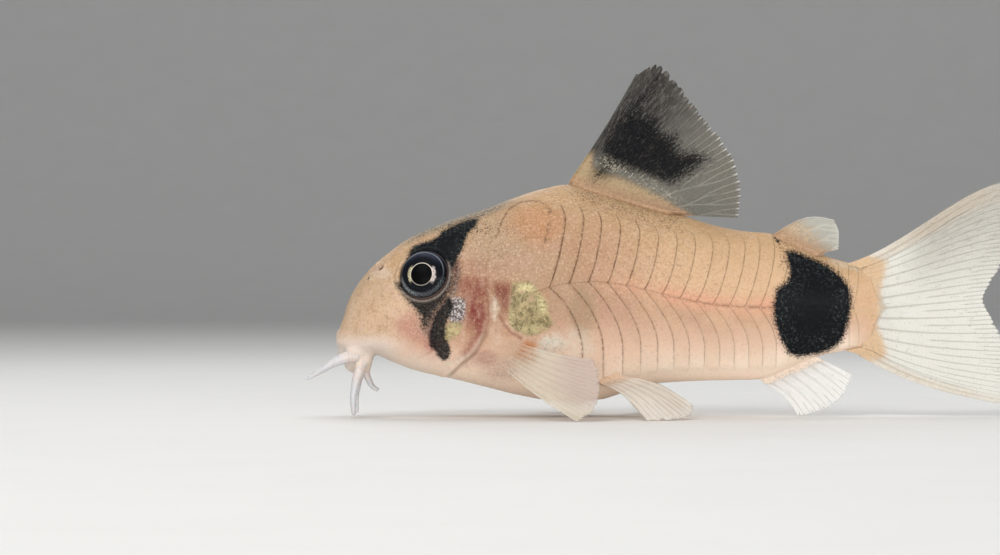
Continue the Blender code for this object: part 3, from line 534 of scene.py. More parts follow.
def lay(piece, points):
    """Puts the piece's corners at these points, in millimetres."""
    piece.data.vertices.foreach_set("co", metres(points).ravel())
    piece.data.update()


def note(piece, marks):
    """Keeps a share of each mark at every corner, for the piece's finish."""
    for name, share in marks.items():
        kept = piece.data.attributes.new(name, "FLOAT", "POINT")
        kept.data.foreach_set("value", np.broadcast_to(share, len(piece.data.vertices)).astype(np.float32))


def active_piece(name):
    piece = bpy.context.active_object
    piece.name = name
    piece.data.name = name
    return piece


def select_only(*pieces):
    bpy.ops.object.select_all(action="DESELECT")
    for piece in pieces:
        piece.select_set(True)
    bpy.context.view_layer.objects.active = pieces[0]


def ball(name, around, rings):
    """A fine round primitive, and for each corner its share round it and from pole to pole."""
    bpy.ops.object.select_all(action="DESELECT")
    bpy.ops.mesh.primitive_uv_sphere_add(segments=around, ring_count=rings, radius=1.0, calc_uvs=False)
    piece = active_piece(name)
    x, y, z = corners_of(piece).T
    ring = np.rint(np.arccos(np.clip(z, -1, 1)) / np.pi * rings).astype(int)
    return piece, (np.arctan2(y, x) / (2 * np.pi)) % 1.0, ring


def sheet(name, columns, rows):
    """A fine flat primitive, and each corner's share across and along it."""
    bpy.ops.object.select_all(action="DESELECT")
    bpy.ops.mesh.primitive_grid_add(x_subdivisions=columns, y_subdivisions=rows, size=2.0, calc_uvs=False)
    piece = active_piece(name)
    x, y, _ = corners_of(piece).T
    return piece, (x + 1) / 2, (y + 1) / 2


def lay_out(piece, name, places):
    """Lays the piece out flat, for a pattern that follows its surface."""
    corner = np.empty(len(piece.data.loops), int)
    piece.data.loops.foreach_get("vertex_index", corner)
    piece.data.uv_layers.new(name=name).data.foreach_set("uv", places[corner].ravel())


def give_thickness(piece, thickness, offset, group=""):
    """Makes a sheet a closed shell, with a wall of this many millimetres."""
    select_only(piece)
    shell = piece.modifiers.new("shell", "SOLIDIFY")
    shell.thickness = thickness * MM
    shell.offset = offset
    shell.vertex_group = group
    bpy.ops.object.modifier_apply(modifier=shell.name)


def face_outward(piece):
    bm = bmesh.new()
    bm.from_mesh(piece.data)
    bmesh.ops.recalc_face_normals(bm, faces=bm.faces)
    if bm.calc_volume(signed=True) < 0:
        bmesh.ops.reverse_faces(bm, faces=bm.faces)
    bm.to_mesh(piece.data)
    bm.free()


def finish_piece(piece, surface, slot, *nodes):
    """Smooth shading, its finish, its place on the body, and the solids that it stands for."""
    face_outward(piece)
    select_only(piece)
    bpy.ops.object.shade_smooth()
    piece.data.materials.clear()
    piece.data.materials.append(surface)
    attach(piece, "root")
    if nodes:
        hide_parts(*nodes)
    return piece


class Finish:
    """A material, built up socket by socket. Sizes of patterns are in millimetres."""

    def __init__(self, name):
        self.material = bpy.data.materials.new(name)
        self.material.use_nodes = True
        self.tree = self.material.node_tree
        self.shader = self.tree.nodes["Principled BSDF"]
        self.place = self.add("ShaderNodeTexCoord").outputs["Object"]

    def add(self, kind, inputs=(), **settings):
        made = self.tree.nodes.new(kind)
        for name, value in settings.items():
            setattr(made, name, value)
        for socket, value in dict(inputs).items():
            self.feed(made.inputs[socket], value)
        return made

    def feed(self, socket, value):
        if isinstance(value, bpy.types.NodeSocket):
            self.tree.links.new(value, socket)
        else:
            socket.default_value = value

    def set(self, **values):
        """Sockets of the shader itself, with _ for a space."""
        for name, value in values.items():
            self.feed(self.shader.inputs[name.replace("_", " ")], value)

    def mark(self, name):
        return self.add("ShaderNodeAttribute", attribute_name=name).outputs["Fac"]

    def calc(self, operation, first, *others):
        """A sum over two or more values, taken in order."""
        for other in others:
            first = self.add("ShaderNodeMath", {0: first, 1: other}, operation=operation).outputs[0]
        return first

    def times(self, *values):
        return self.calc("MULTIPLY", *values)

    def plus(self, *values):
        return self.calc("ADD", *values)

    def minus(self, *values):
        return self.calc("SUBTRACT", *values)

    def most(self, *values):
        return self.calc("MAXIMUM", *values)

    def between(self, operation, first, second):
        """A sum over two places."""
        return self.add("ShaderNodeVectorMath", {0: first, 1: second}, operation=operation).outputs[0]

    def swing(self, texture, reach):
        """A texture as a swing to both sides of nought."""
        return self.times(self.minus(texture, 0.5), reach)

    def ease(self, value, low, high, to_low=0.0, to_high=1.0):
        made = self.add(
            "ShaderNodeMapRange",
            {"Value": value, "From Min": low, "From Max": high, "To Min": to_low, "To Max": to_high},
            interpolation_type="SMOOTHSTEP",
        )
        return made.outputs["Result"]

    def band(self, value, start, full, fading, end):
        """Rises softly to 1 and falls softly back to 0."""
        return self.times(self.ease(value, start, full), self.ease(value, end, fading))

    def mix(self, first, second, share):
        made = self.add("ShaderNodeMix", data_type="RGBA")
        for index, value in ((0, share), (6, first), (7, second)):
            if isinstance(value, tuple):
                value = (*value, 1.0)
            self.feed(made.inputs[index], value)
        return made.outputs[2]

    def mix_values(self, first, second, share):
        return self.add("ShaderNodeMix", {0: share, 2: first, 3: second}).outputs[0]

    def touch(self, colour, over, mark, texture, low, high, to_low=0.0, to_high=1.0):
        """Lays a colour over another where its mark and the grains of a texture meet."""
        where = self.ease(texture, low, high, to_low, to_high)
        return self.mix(colour, over, self.times(self.mark(mark), where))

    def noise(self, size, detail=2.0, rough=0.5, place=None):
        made = self.add(
            "ShaderNodeTexNoise",
            {"Vector": place or self.place, "Scale": 1000.0 / size, "Detail": detail, "Roughness": rough},
        )
        return made.outputs["Fac"]

    def dots(self, size):
        """Distance from the nearest of many scattered points, and a random number for each."""
        made = self.add("ShaderNodeTexVoronoi", {"Vector": self.place, "Scale": 1000.0 / size})
        pick = self.add("ShaderNodeSeparateColor", {0: made.outputs["Color"]}).outputs[0]
        return made.outputs["Distance"], pick

    def rings(self, often, bent=0.0):
        """Fine rings across a ray or a barbel, by the distance from its root."""
        place = self.add("ShaderNodeCombineXYZ", {"X": self.mark("ray_reach")}).outputs[0]
        made = self.add("ShaderNodeTexWave", {"Vector": place, "Scale": often, "Distortion": bent})
        return made.outputs["Fac"]

    def relief(self, height, depth, strength=1.0, under=None):
        made = self.add("ShaderNodeBump", {"Strength": strength, "Distance": depth * MM, "Height": height})
        if under is not None:
            self.feed(made.inputs["Normal"], under)
        return made.outputs["Normal"]


# Colours of the living animal
FLESH = (0.440, 0.257, 0.170)
FLESH_WARM = (0.435, 0.243, 0.152)
FLESH_ROSY = (0.470, 0.270, 0.202)
FLESH_REAR = (0.690, 0.455, 0.285)
FLESH_LOW = (0.710, 0.475, 0.360)
BACK_TAN = (0.500, 0.325, 0.175)
HEAD_SAND = (0.620, 0.445, 0.305)
FLESH_GREY = (0.430, 0.305, 0.195)
# The belly's own pale colour, made paler still as painted light thrown up from the floor
BELLY_PALE_AND_BOUNCE = (0.930, 0.740, 0.600)
STRIPE_PINK = (0.720, 0.350, 0.230)
BLUSH_RED = (0.185, 0.021, 0.021)
UMBER = (0.200, 0.085, 0.045)
DUSK = (0.070, 0.036, 0.034)
ORANGE_BROWN = (0.460, 0.165, 0.050)
MAUVE = (0.360, 0.230, 0.190)
LIP_PALE = (0.710, 0.605, 0.525)
CROWN_GREY = (0.125, 0.108, 0.066)
OLIVE = (0.155, 0.120, 0.058)
GOLD = (0.400, 0.320, 0.170)
GOLD_GREEN = (0.580, 0.500, 0.270)
MILK = (0.690, 0.640, 0.530)
SILVER_WHITE = (0.640, 0.600, 0.590)
SILVER_SHADE = (0.100, 0.075, 0.075)
FRECKLE_BROWN = (0.180, 0.105, 0.060)
MOTTLE_OLIVE = (0.380, 0.290, 0.165)
GLINT_GOLD = (0.820, 0.680, 0.420)
GRAIN_PALE = (0.800, 0.610, 0.430)
GRAIN_DARK = (0.300, 0.175, 0.095)
SEAM_BROWN = (0.170, 0.088, 0.048)
# Painted shade for the mouth's slit, the gill slit and the nostril pits
CREASE_SHADE = (0.075, 0.030, 0.024)
CHEEK_ROSE = (0.520, 0.235, 0.195)
CLOUD_PINK = (0.620, 0.440, 0.350)
CLOUD_BROWN = (0.340, 0.205, 0.115)
INK = (0.0035, 0.0045, 0.006)
INK_SPECK = (0.062, 0.070, 0.066)
FIN_ROOT = (0.460, 0.292, 0.178)
FIN_TIP_WHITE_AND_HIGHLIGHT = (0.880, 0.870, 0.840)
FIN_DUST = (0.440, 0.410, 0.330)
PUPIL_BLACK = (0.0008, 0.0008, 0.001)
IRIS_BLACK = (0.0025, 0.003, 0.004)
IRIS_BLUE_BLACK = (0.007, 0.009, 0.014)
PAINTED_EYE_SHEEN = (0.028, 0.033, 0.062)
IRIS_SPECK = (0.140, 0.210, 0.170)
PAINTED_TOP_HIGHLIGHT = (0.320, 0.340, 0.380)
PAINTED_LOW_HIGHLIGHT = (0.400, 0.440, 0.460)
IRIS_RING = (0.740, 0.660, 0.570)
LOBE_FRONT = (0.620, 0.560, 0.360)
LOBE_REAR = (0.720, 0.620, 0.580)
EYE_EDGE = (0.160, 0.100, 0.085)
EYE_RIM_GREY = (0.300, 0.250, 0.215)
BARBEL_ROOT = (0.700, 0.620, 0.580)
BARBEL_TIP = (0.620, 0.640, 0.670)
BARBEL_PINK = (0.740, 0.540, 0.460)

# The skin's colours from the deepest out: colour, mark, and its texture with its least and greatest share
GROUND_LAYERS = (
    (FLESH_REAR, "rear"),
    (FLESH_ROSY, "rosy", "wide", 0.4, 0.9),
    (HEAD_SAND, "sand", "wide", 0.75, 1.0),
    (FLESH_LOW, "low"),
    (BACK_TAN, "back", "wide", 0.75, 1.0),
    (BELLY_PALE_AND_BOUNCE, "belly"),
)
MARK_LAYERS = (
    (FLESH_GREY, "grey", "streaks", 0.6, 1.0),
    (STRIPE_PINK, "stripe", "wide", 0.3, 0.7),
    (ORANGE_BROWN, "orange", "fine", 0.75, 1.0),
    (MAUVE, "mauve", "fine", 0.4, 1.0),
    (LIP_PALE, "pale"),
    (MILK, "milk", "streaks", 0.35, 1.0),
    (CHEEK_ROSE, "rose", "fine", 0.5, 0.95),
    (UMBER, "umber", "fine", 0.7, 1.0),
    (BLUSH_RED, "blush", "streaks", 0.6, 1.0),
    (DUSK, "dusk", "fine", 0.55, 1.0),
    (CROWN_GREY, "crown", "fine", 0.6, 0.95),
)


def skin_finish():
    """Moist flesh and bone with the mask, the blot, the blushes and the fine specks."""
    f = Finish("corydoras_skin")
    fine = f.noise(0.17, 3.0, 0.65)
    grain = f.noise(0.16, 2.0, 0.6)
    streaks = f.noise(0.45, 3.0, 0.7)
    clouds = f.noise(0.8, 4.0, 0.7)
    textures = {"wide": f.noise(2.4, 3.0), "fine": fine, "streaks": streaks}

    def lay_on(colour, over, mark, texture=None, least=0.0, most=1.0):
        if texture is None:
            return f.mix(colour, over, f.mark(mark))
        return f.touch(colour, over, mark, textures[texture], 0.35, 0.62, least, most)

    def scatter(colour, over, mark, size, reach, strength):
        distance, pick = f.dots(size)
        share = f.times(f.mark(mark), f.times(pick, reach))
        return f.mix(colour, over, f.times(f.ease(f.minus(share, distance), 0.0, 0.1), strength))

    colour = f.mix(FLESH, FLESH_WARM, f.ease(textures["wide"], 0.35, 0.65))
    for layer in GROUND_LAYERS:
        colour = lay_on(colour, *layer)
    colour = f.mix(colour, BACK_TAN, f.times(f.mark("tone"), 0.3))
    colour = f.touch(colour, CLOUD_PINK, "cloudy", clouds, 0.48, 0.66, 0.0, 0.5)
    colour = f.touch(colour, CLOUD_BROWN, "cloudy", clouds, 0.47, 0.32, 0.0, 0.38)
    for layer in MARK_LAYERS:
        colour = lay_on(colour, *layer)
    colour = f.touch(colour, MOTTLE_OLIVE, "mottle", streaks, 0.38, 0.58, 0.1125, 0.45)
    colour = f.touch(colour, BACK_TAN, "grain", f.noise(0.42, 3.0, 0.75), 0.42, 0.3, 0.0, 0.5)
    colour = f.touch(colour, GRAIN_PALE, "grain", grain, 0.52, 0.74, 0.0, 0.4)
    colour = f.touch(colour, GRAIN_DARK, "grain", grain, 0.48, 0.28, 0.0, 0.62)
    colour = scatter(colour, GLINT_GOLD, "glint", 0.21, 0.5, 0.4)
    colour = f.touch(colour, FRECKLE_BROWN, "freckle", f.noise(0.22, 4.0, 0.85), 0.56, 0.68, 0.0, 0.7)
    colour = scatter(colour, FRECKLE_BROWN, "freckle", 0.13, 0.7, 0.7)
    colour = scatter(colour, GLINT_GOLD, "glint", 0.12, 0.6, 0.45)

    flakes = f.noise(0.21, 4.0, 0.85)
    tint = f.noise(0.6, 3.0, 0.7)
    gold = f.mix(OLIVE, GOLD, f.ease(f.plus(flakes, f.times(tint, 0.7)), 0.66, 0.98))
    bright = f.times(f.mark("bright"), f.ease(flakes, 0.36, 0.56))
    gold = f.mix(gold, GOLD_GREEN, f.most(bright, f.ease(flakes, 0.58, 0.72, 0.0, 0.7)))
    gold = f.mix(gold, FLESH, f.ease(tint, 0.54, 0.7, 0.0, 0.5))
    gold_share = f.ease(f.plus(f.mark("gold"), f.times(fine, 0.9)), 0.45, 1.35)
    colour = f.mix(colour, gold, gold_share)
    silver = f.mix(SILVER_SHADE, SILVER_WHITE, f.ease(f.noise(0.18, 3.0, 0.8), 0.46, 0.62))
    silver_share = f.ease(f.plus(f.mark("silver"), f.times(fine, 1.2)), 0.7, 1.6)
    colour = f.mix(colour, silver, silver_share)
    colour = f.touch(colour, SEAM_BROWN, "seam", f.noise(0.22, 2.0, 0.8), 0.4, 0.56, 0.1, 1.0)
    # Painted shade in the mouth line, the gill slit and the nostril pits
    colour = f.mix(colour, CREASE_SHADE, f.mark("crease_shade"))

    colour = scatter(colour, INK, "dust", 0.15, 0.66, 0.8)
    full = f.ease(f.mark("black"), 0.7, 1.0, 0.0, 0.6)
    rough_edge = f.swing(f.noise(0.14, 3.0, 0.9), 2.0)
    black = f.ease(f.plus(f.mark("black"), full, rough_edge), 0.15, 0.8)
    thin = f.times(f.mark("thin"), f.ease(fine, 0.35, 0.6, 0.09, 0.02))
    black = f.times(black, f.minus(1.0, thin))
    specks = f.ease(f.noise(0.2, 3.0, 0.8), 0.5, 0.72)
    specks = f.times(specks, f.ease(f.mark("core"), 1.0, 0.7, 0.12, 0.9))
    colour = f.mix(colour, f.mix(INK, INK_SPECK, specks), black)
    colour = f.touch(colour, EYE_RIM_GREY, "eye_rim", fine, 0.35, 0.6, 0.35, 0.85)

    f.set(
        Base_Color=colour,
        Normal=f.relief(f.noise(0.12, 2.0, 0.6), 0.01, 0.8, f.relief(f.noise(0.9, 2.0), 0.05)),
        Roughness=f.mix_values(f.ease(fine, 0.3, 0.7, 0.42, 0.58), 0.8, black),
        Metallic=f.times(f.most(gold_share, silver_share), 0.2),
        Subsurface_Weight=f.times(f.minus(1.0, black), 0.18),
        Subsurface_Radius=(1.0, 0.42, 0.28), Subsurface_Scale=0.5 * MM,
        Coat_Weight=0.04, Coat_Roughness=0.25, Specular_IOR_Level=0.12,
    )
    return f.material


def fin_finish(name, web, ray_colour, web_alpha, ray_alpha, flesh, joint, tip_pale_and_highlight, dim=(0.03, 0.03, 0.027),
               streaky=0.3):
    """A clear skin between pale jointed rays, fleshy at its root. The black follows the rays in streaks."""
    f = Finish(name)
    fan = f.add("ShaderNodeUVMap", uv_map="fan").outputs["UV"]
    drawn_out = f.add("ShaderNodeMapping", {"Vector": fan, "Scale": (13.0, 1.1, 1.0)}).outputs["Vector"]
    streaks = f.noise(1000.0, 4.0, 0.75, drawn_out)
    fine = f.noise(0.15, 3.0, 0.75)
    grain = f.noise(0.16, 2.0, 0.6)
    ray = f.mark("ray")

    def toned(colour, share):
        return tuple(part * share for part in colour)

    colour = f.mix(web, ray_colour, f.ease(ray, 0.05, 0.8))
    colour = f.mix(colour, toned(ray_colour, 0.6), f.times(f.rings(1.15), ray, joint))
    colour = f.mix(colour, toned(web, 0.55), f.ease(streaks, 0.5, 0.75, 0.0, streaky))
    # Pale tips of the rays, and a painted highlight down the first ray's leading edge
    colour = f.mix(colour, FIN_TIP_WHITE_AND_HIGHLIGHT, f.times(f.mark("margin"), tip_pale_and_highlight))
    # Dimmed towards a darker colour and made less clear; on the dorsal and caudal fins this is painted
    # shade, as of a dark background behind them
    dimmed = f.times(f.mark("dim"), f.ease(streaks, 0.3, 0.6, 0.6, 1.0))
    colour = f.mix(colour, dim, dimmed)
    colour = f.touch(colour, toned(flesh, 0.85), "tan", fine, 0.3, 0.6, 0.3, 0.8)

    flesh_tone = f.mix(toned(flesh, 0.9), toned(flesh, 1.1), f.ease(fine, 0.4, 0.65))
    flesh_tone = f.mix(flesh_tone, FIN_ROOT, f.mark("root"))
    flesh_tone = f.touch(flesh_tone, GRAIN_PALE, "root", grain, 0.52, 0.74, 0.0, 0.3)
    flesh_tone = f.touch(flesh_tone, GRAIN_DARK, "root", grain, 0.48, 0.28, 0.0, 0.6)
    loose = f.times(f.plus(f.swing(fine, 1.5), f.swing(streaks, 1.2)), f.ease(f.mark("flesh"), 0.0, 0.3))
    flesh_share = f.ease(f.plus(f.mark("flesh"), loose), 0.1, 1.0)
    colour = f.mix(colour, flesh_tone, flesh_share)
    freckles = f.times(f.mark("freckle"), f.ease(f.noise(0.22, 4.0, 0.85), 0.56, 0.68, 0.0, 0.7))
    colour = f.mix(colour, FRECKLE_BROWN, freckles)

    black = f.ease(f.plus(f.mark("black"), f.plus(f.swing(streaks, 1.5), f.swing(fine, 1.8))), 0.12, 0.85)
    mottle = f.most(f.ease(fine, 0.56, 0.74, 0.0, 0.5), f.ease(streaks, 0.54, 0.7, 0.0, 0.45))
    colour = f.mix(colour, f.mix(INK, toned(ray_colour, 0.4), mottle), black)
    dusting = f.plus(f.times(fine, 0.6), f.times(streaks, 0.6))
    dusting = f.times(f.mark("dusting"), f.ease(dusting, 0.56, 0.72))
    colour = f.mix(colour, FIN_DUST, dusting)

    clear = f.times(f.ease(ray, 0.05, 0.8, web_alpha, ray_alpha), f.mark("veil"))
    hidden = f.most(flesh_share, f.times(black, 0.99), freckles, f.times(f.mark("tan"), 0.7), dusting)
    f.set(
        Base_Color=colour, Alpha=f.most(clear, hidden, f.times(dimmed, 0.85)),
        Roughness=0.55, Specular_IOR_Level=0.06,
        Subsurface_Weight=0.2, Subsurface_Radius=(1.0, 0.8, 0.7), Subsurface_Scale=0.4 * MM,
        Normal=f.relief(f.noise(0.1, 2.0), 0.01),
    )
    return f.material


def eye_finish():
    """Black pupil in a pale gold ring, blue-black iris, painted sheen and highlights, under a clear wet
    coat.
    """
    f = Finish("corydoras_eye")
    chart = f.add("ShaderNodeUVMap", uv_map="eye").outputs["UV"]
    place = f.between("SUBTRACT", chart, (0.5, 0.5, 0.0))
    place = f.between("MULTIPLY", place, (EYE_CHART,) * 3)
    from_pupil = f.between("SUBTRACT", place, (*PUPIL_PLACE, 0.0))
    whole = f.add("ShaderNodeVectorMath", {0: place}, operation="LENGTH").outputs["Value"]
    reach = f.add("ShaderNodeVectorMath", {0: from_pupil}, operation="LENGTH").outputs["Value"]
    up = f.add("ShaderNodeSeparateXYZ", {0: place}).outputs["Y"]
    back = f.add("ShaderNodeSeparateXYZ", {0: from_pupil}).outputs["X"]
    level = f.calc("DIVIDE", back, reach)
    sideways = f.calc("POWER", f.times(level, level), 3.0)
    fibres = f.noise(140.0, 3.0, 0.7, place)
    specks = f.noise(70.0, 3.0, 0.8, place)

    eye = f.mix(IRIS_BLACK, IRIS_BLUE_BLACK, f.ease(fibres, 0.35, 0.65))
    # A painted sheen of light over the top of the eye
    eye = f.mix(eye, PAINTED_EYE_SHEEN, f.times(f.ease(up, 0.3, 1.4), f.ease(whole, 0.95, 1.35), 0.6))
    # Painted highlights: broken bluish-white flecks round the lower front rim of the eye
    low_rim = f.band(whole, 1.34, 1.5, 1.6, 1.68)
    low_rim = f.times(low_rim, f.ease(up, -0.1, -0.7), f.ease(specks, 0.44, 0.62))
    eye = f.mix(eye, PAINTED_LOW_HIGHLIGHT, f.times(f.ease(back, 0.2, -1.0, 0.35, 1.0), low_rim, 0.9))
    eye = f.mix(eye, IRIS_SPECK, f.times(f.ease(specks, 0.6, 0.72), f.ease(up, 0.1, -0.6, 0.05, 0.4)))
    # A painted highlight: a thin bright line round the top of the eye
    arc = f.times(f.band(whole, 1.47, 1.5, 1.52, 1.55), f.ease(up, -0.4, 1.0, 0.1, 0.6))
    eye = f.mix(eye, PAINTED_TOP_HIGHLIGHT, arc)
    outer = f.plus(0.98, f.swing(fibres, 0.3))
    lobes = f.times(f.ease(reach, 0.77, 0.8), f.ease(f.minus(reach, outer), 0.08, -0.04))
    lobes = f.times(lobes, f.ease(sideways, 0.1, 0.5), f.ease(fibres, 0.35, 0.55, 0.35, 0.8))
    eye = f.mix(eye, f.mix(LOBE_FRONT, LOBE_REAR, f.ease(back, -0.5, 0.5)), lobes)
    ring = f.times(
        f.band(reach, 0.75, 0.765, 0.795, 0.825),
        f.ease(f.minus(up, PUPIL_PLACE[1]), -0.7, 0.1, 0.4, 1.0),
        f.ease(fibres, 0.3, 0.5, 0.6, 1.0),
    )
    eye = f.mix(eye, IRIS_RING, ring)
    eye = f.mix(eye, PUPIL_BLACK, f.ease(reach, 0.765, 0.755))
    eye = f.mix(eye, EYE_EDGE, f.ease(whole, 1.66, 1.74))
    f.set(
        Base_Color=eye, Roughness=0.45, Specular_IOR_Level=0.05,
        Coat_Weight=f.ease(reach, 0.7, 0.8, 0.015, 0.12), Coat_Roughness=0.05, Coat_IOR=1.33,
    )
    return f.material


def barbel_finish():
    """Soft pale flesh, turning bluish white towards its tip, with fine rings."""
    f = Finish("corydoras_barbel")
    colour = f.mix(BARBEL_ROOT, BARBEL_TIP, f.ease(f.mark("tip"), 0.1, 0.7))
    colour = f.mix(colour, BARBEL_PINK, f.ease(f.noise(1.2, 2.0), 0.4, 0.8, 0.0, 0.4))
    f.set(
        Base_Color=colour, Roughness=0.3, Coat_Weight=0.4, Coat_Roughness=0.15,
        Alpha=f.ease(f.mark("tip"), 0.2, 1.0, 1.0, 0.72),
        Subsurface_Weight=0.5, Subsurface_Radius=(1.0, 0.7, 0.6), Subsurface_Scale=0.6 * MM,
        Normal=f.relief(f.rings(1.6, 1.0), 0.02),
    )
    return f.material


def skin_stations():
    """Places of the skin's rings, closest on the head, and how far each is drawn in to close the end."""
    snout = SNOUT_LENGTH * (np.arange(1, SNOUT_RINGS + 1) / SNOUT_RINGS) ** 2
    head = np.arange(SNOUT_LENGTH + HEAD_RING_STEP, HEAD_NET_END, HEAD_RING_STEP)
    body = np.arange(HEAD_NET_END, STALK_END_ALONG, BODY_RING_STEP)
    closing = np.linspace(0, 0.5 * np.pi, SKIN_END_RINGS)
    along = np.concatenate([[0.0], snout, head, body, STALK_END_ALONG + SKIN_END_REACH * np.sin(closing)])
    drawn_in = np.ones(len(along))
    drawn_in[-SKIN_END_RINGS:] = np.cos(closing)
    return along, drawn_in


def head_relief(along, turn, points):
    """Folds, pits and plates of the head and shoulder, in millimetres above the plain skin."""
    normal = outward(EYE_ALONG, EYE_TURN)
    off = points - eye_centre_on_skin()
    reach = np.linalg.norm(off - (off @ normal)[:, None] * normal, axis=1)
    near_eye = smooth(4.0, 3.0, np.linalg.norm(off, axis=1))
    relief = near_eye * (0.12 * bump(1.9, 0.3, reach) - 0.04 * bump(2.2, 0.22, reach))
    relief -= near_eye * 0.95 * smooth(1.8, 1.5, reach)

    behind = along - gill_edge(turn)
    cover = smooth(0.27, 0.4, turn) * smooth(0.99, 0.88, turn)
    side = cover * smooth(0.78, 0.66, turn)
    relief += cover * 0.1 * smooth(-3.0, -1.2, behind) * smooth(0.06, -0.06, behind)
    relief += cover * 0.05 * bump(-0.25, 0.35, behind)
    relief -= cover * (0.06 + 0.1 * smooth(0.5, 0.66, turn)) * bump(0.16, 0.24, behind)
    relief -= side * 0.05 * bump(-2.75, 0.25, behind)
    relief += side * 0.035 * bump(-1.5, 0.6, behind) * np.sin(60 * turn)
    shoulder = smooth(0.36, 0.44, turn) * smooth(0.66, 0.6, turn)
    relief += shoulder * 0.08 * smooth(0.5, 0.9, behind) * smooth(14.2, 13.4, along)

    for place, pit_turn, _ in NOSTRILS.values():
        distance = np.linalg.norm(points - skin(place, pit_turn), axis=1)
        relief += 0.08 * smooth(0.6, 0.25, distance) - 0.38 * smooth(0.25, 0.1, distance)
    return relief


def soft_least(first, second, blend):
    """The lesser of two distances, rounded off where they are alike."""
    share = np.clip(0.5 + 0.5 * (second - first) / blend, 0, 1)
    return second + (first - second) * share - blend * share * (1 - share)


def from_line(points, corners):
    """Distance from a line through the corners."""
    least = np.full(len(points), np.inf)
    for start, end in zip(corners[:-1], corners[1:]):
        edge = end - start
        share = np.clip((points - start) @ edge / (edge @ edge), 0, 1)
        least = np.minimum(least, np.linalg.norm(points - start - share[:, None] * edge, axis=1))
    return least


def mouth_distance(points):
    """Distance from the lips, the pad behind them and the roots of the barbels."""
    points = points * [1, 0, 1] + np.abs(points[:, 1:2]) * [0, 1, 0]
    upper, lower = (lip_path(front)[LIP_CORNERS // 2:] for front in (UPPER_LIP_FRONT, LOWER_LIP_FRONT))
    off = (points - JAW_CENTRE) / JAW_RADII
    size = np.linalg.norm(off, axis=1)
    pad = size * (size - 1) / np.maximum(np.linalg.norm(off / JAW_RADII, axis=1), TINY)
    upper_lip = from_line(points, upper) - UPPER_LIP_HALF
    lower_lip = from_line(points, lower) - LOWER_LIP_HALF
    least = soft_least(soft_least(upper_lip, lower_lip, 0.12), pad, 0.25)
    for corners, root, *_ in BARBELS.values():
        line = np.array(corners[:2])
        least = soft_least(least, from_line(points, line) - 0.85 * root, 0.3)
    return least


def mouth_relief(points, normal):
    """How far the skin swells out over the lips and the roots of the barbels."""
    swell = np.zeros(len(points))
    near = np.flatnonzero((points[:, 0] < 4.6) & (points[:, 2] < 6.4))
    start, ahead = points[near], normal[near]
    steps = np.linspace(*LIP_SWELL_REACH)
    width = steps[0] - steps[1]
    found = np.zeros(len(near), bool)
    before = np.ones(len(near))
    for step in steps:
        here = soft_least(step, mouth_distance(start + ahead * step), 0.7)
        hit = ~found & (here <= 0)
        swell[near[hit]] = step + width * (-here[hit]) / np.maximum(before[hit] - here[hit], TINY)
        found |= hit
        before = here
    return swell


def make_skin(surface):
    along, drawn_in = skin_stations()
    half = SKIN_HALF_COLUMNS
    turns = even_turns(along, 0.0, 1.0, half + 1)
    piece, around, ring = ball("skin", 2 * half, len(along) - 1)
    column = np.rint(around * 2 * half).astype(int) % (2 * half)
    side = np.where(column <= half, 1.0, -1.0)
    turn = turns[ring, np.minimum(column, 2 * half - column)]
    place, shrink = along[ring], drawn_in[ring]
    lift = np.abs(np.cos(np.pi * turn))
    place = place - 0.8 * lift * (2 - lift) * smooth(36.3, STALK_END_ALONG, place)
    points = skin(place, turn)
    middle = np.stack([place, np.zeros(len(place)), widest_height(place)], -1)
    points = middle + (points - middle) * shrink[:, None]
    normal = outward(place, turn)
    relief = head_relief(place, turn, points) * smooth(0.05, 0.8, place)
    plated = smooth(13.0, 14.0, place - lean_at(place, turn)) * smooth(STALK_END_ALONG, 37.6, place)
    relief -= 0.03 * plated * smooth(0.05, 0.2, turn)
    height = points[:, 2]
    relief += 0.12 * bump(5.4, 0.6, height) * smooth(1.3, 0.2, place) * smooth(0.02, 0.2, place)
    relief -= 0.15 * smooth(5.9, 6.3, height) * smooth(8.4, 6.7, height) * smooth(2.4, 0.5, place)
    relief += mouth_relief(points, normal)
    plain = points
    points = points + normal * (relief * shrink)[:, None]
    marks = skin_marks(points, turn)
    marks["tone"] = np.full(len(points), 0.5)
    low_gill = smooth(0.3, 0.42, turn) * smooth(0.97, 0.85, turn) * smooth(0.52, 0.64, turn)
    pits = [np.linalg.norm(plain - skin(at, pit_turn), axis=1) for at, pit_turn, _ in NOSTRILS.values()]
    # Painted shade: darker along the mouth line, in the fold behind the gill cover and in the nostril pits
    marks["crease_shade"] = strongest(
        0.8 * smooth(0.16, 0.04, from_line(points, MOUTH_LINE)),
        0.3 * low_gill * bump(0.18, 0.2, place - gill_edge(turn)),
        *(0.8 * smooth(0.24, 0.1, distance) for distance in pits),
    )
    points[:, 1] *= side
    lay(piece, points)
    note(piece, marks)
    return finish_piece(piece, surface, "pink_flesh", "head", "trunk", "tail_stalk")


# A plate's net: places of its columns from front to rear edge, how high each lies, and its rows. The tone
# goes on by a step from each plate to the next
PLATE_ACROSS = np.array([0.0, 0.15, 0.35, 0.55, 0.72, 0.84, 0.91, 0.955, 0.985, 1.0])
PLATE_RISE = np.array([0.0, 0.3, 0.6, 0.8, 0.92, 0.98, 1.0, 0.98, 0.86, 0.45])
PLATE_ROWS = 44
TONE_STEP = 0.618
TONE_SHIFT = 0.37


def upper_plate_end(number):
    """The turn at which the upper plates give way to the bare back."""
    return 0.03 + 0.15 * float(smooth(12.0, 5.0, np.float64(number)))


def lower_plate_end(number):
    """The turn at which the lower plates give way to the soft belly."""
    return 0.86 + 0.1 * float(smooth(11.0, 15.0, np.float64(number)))


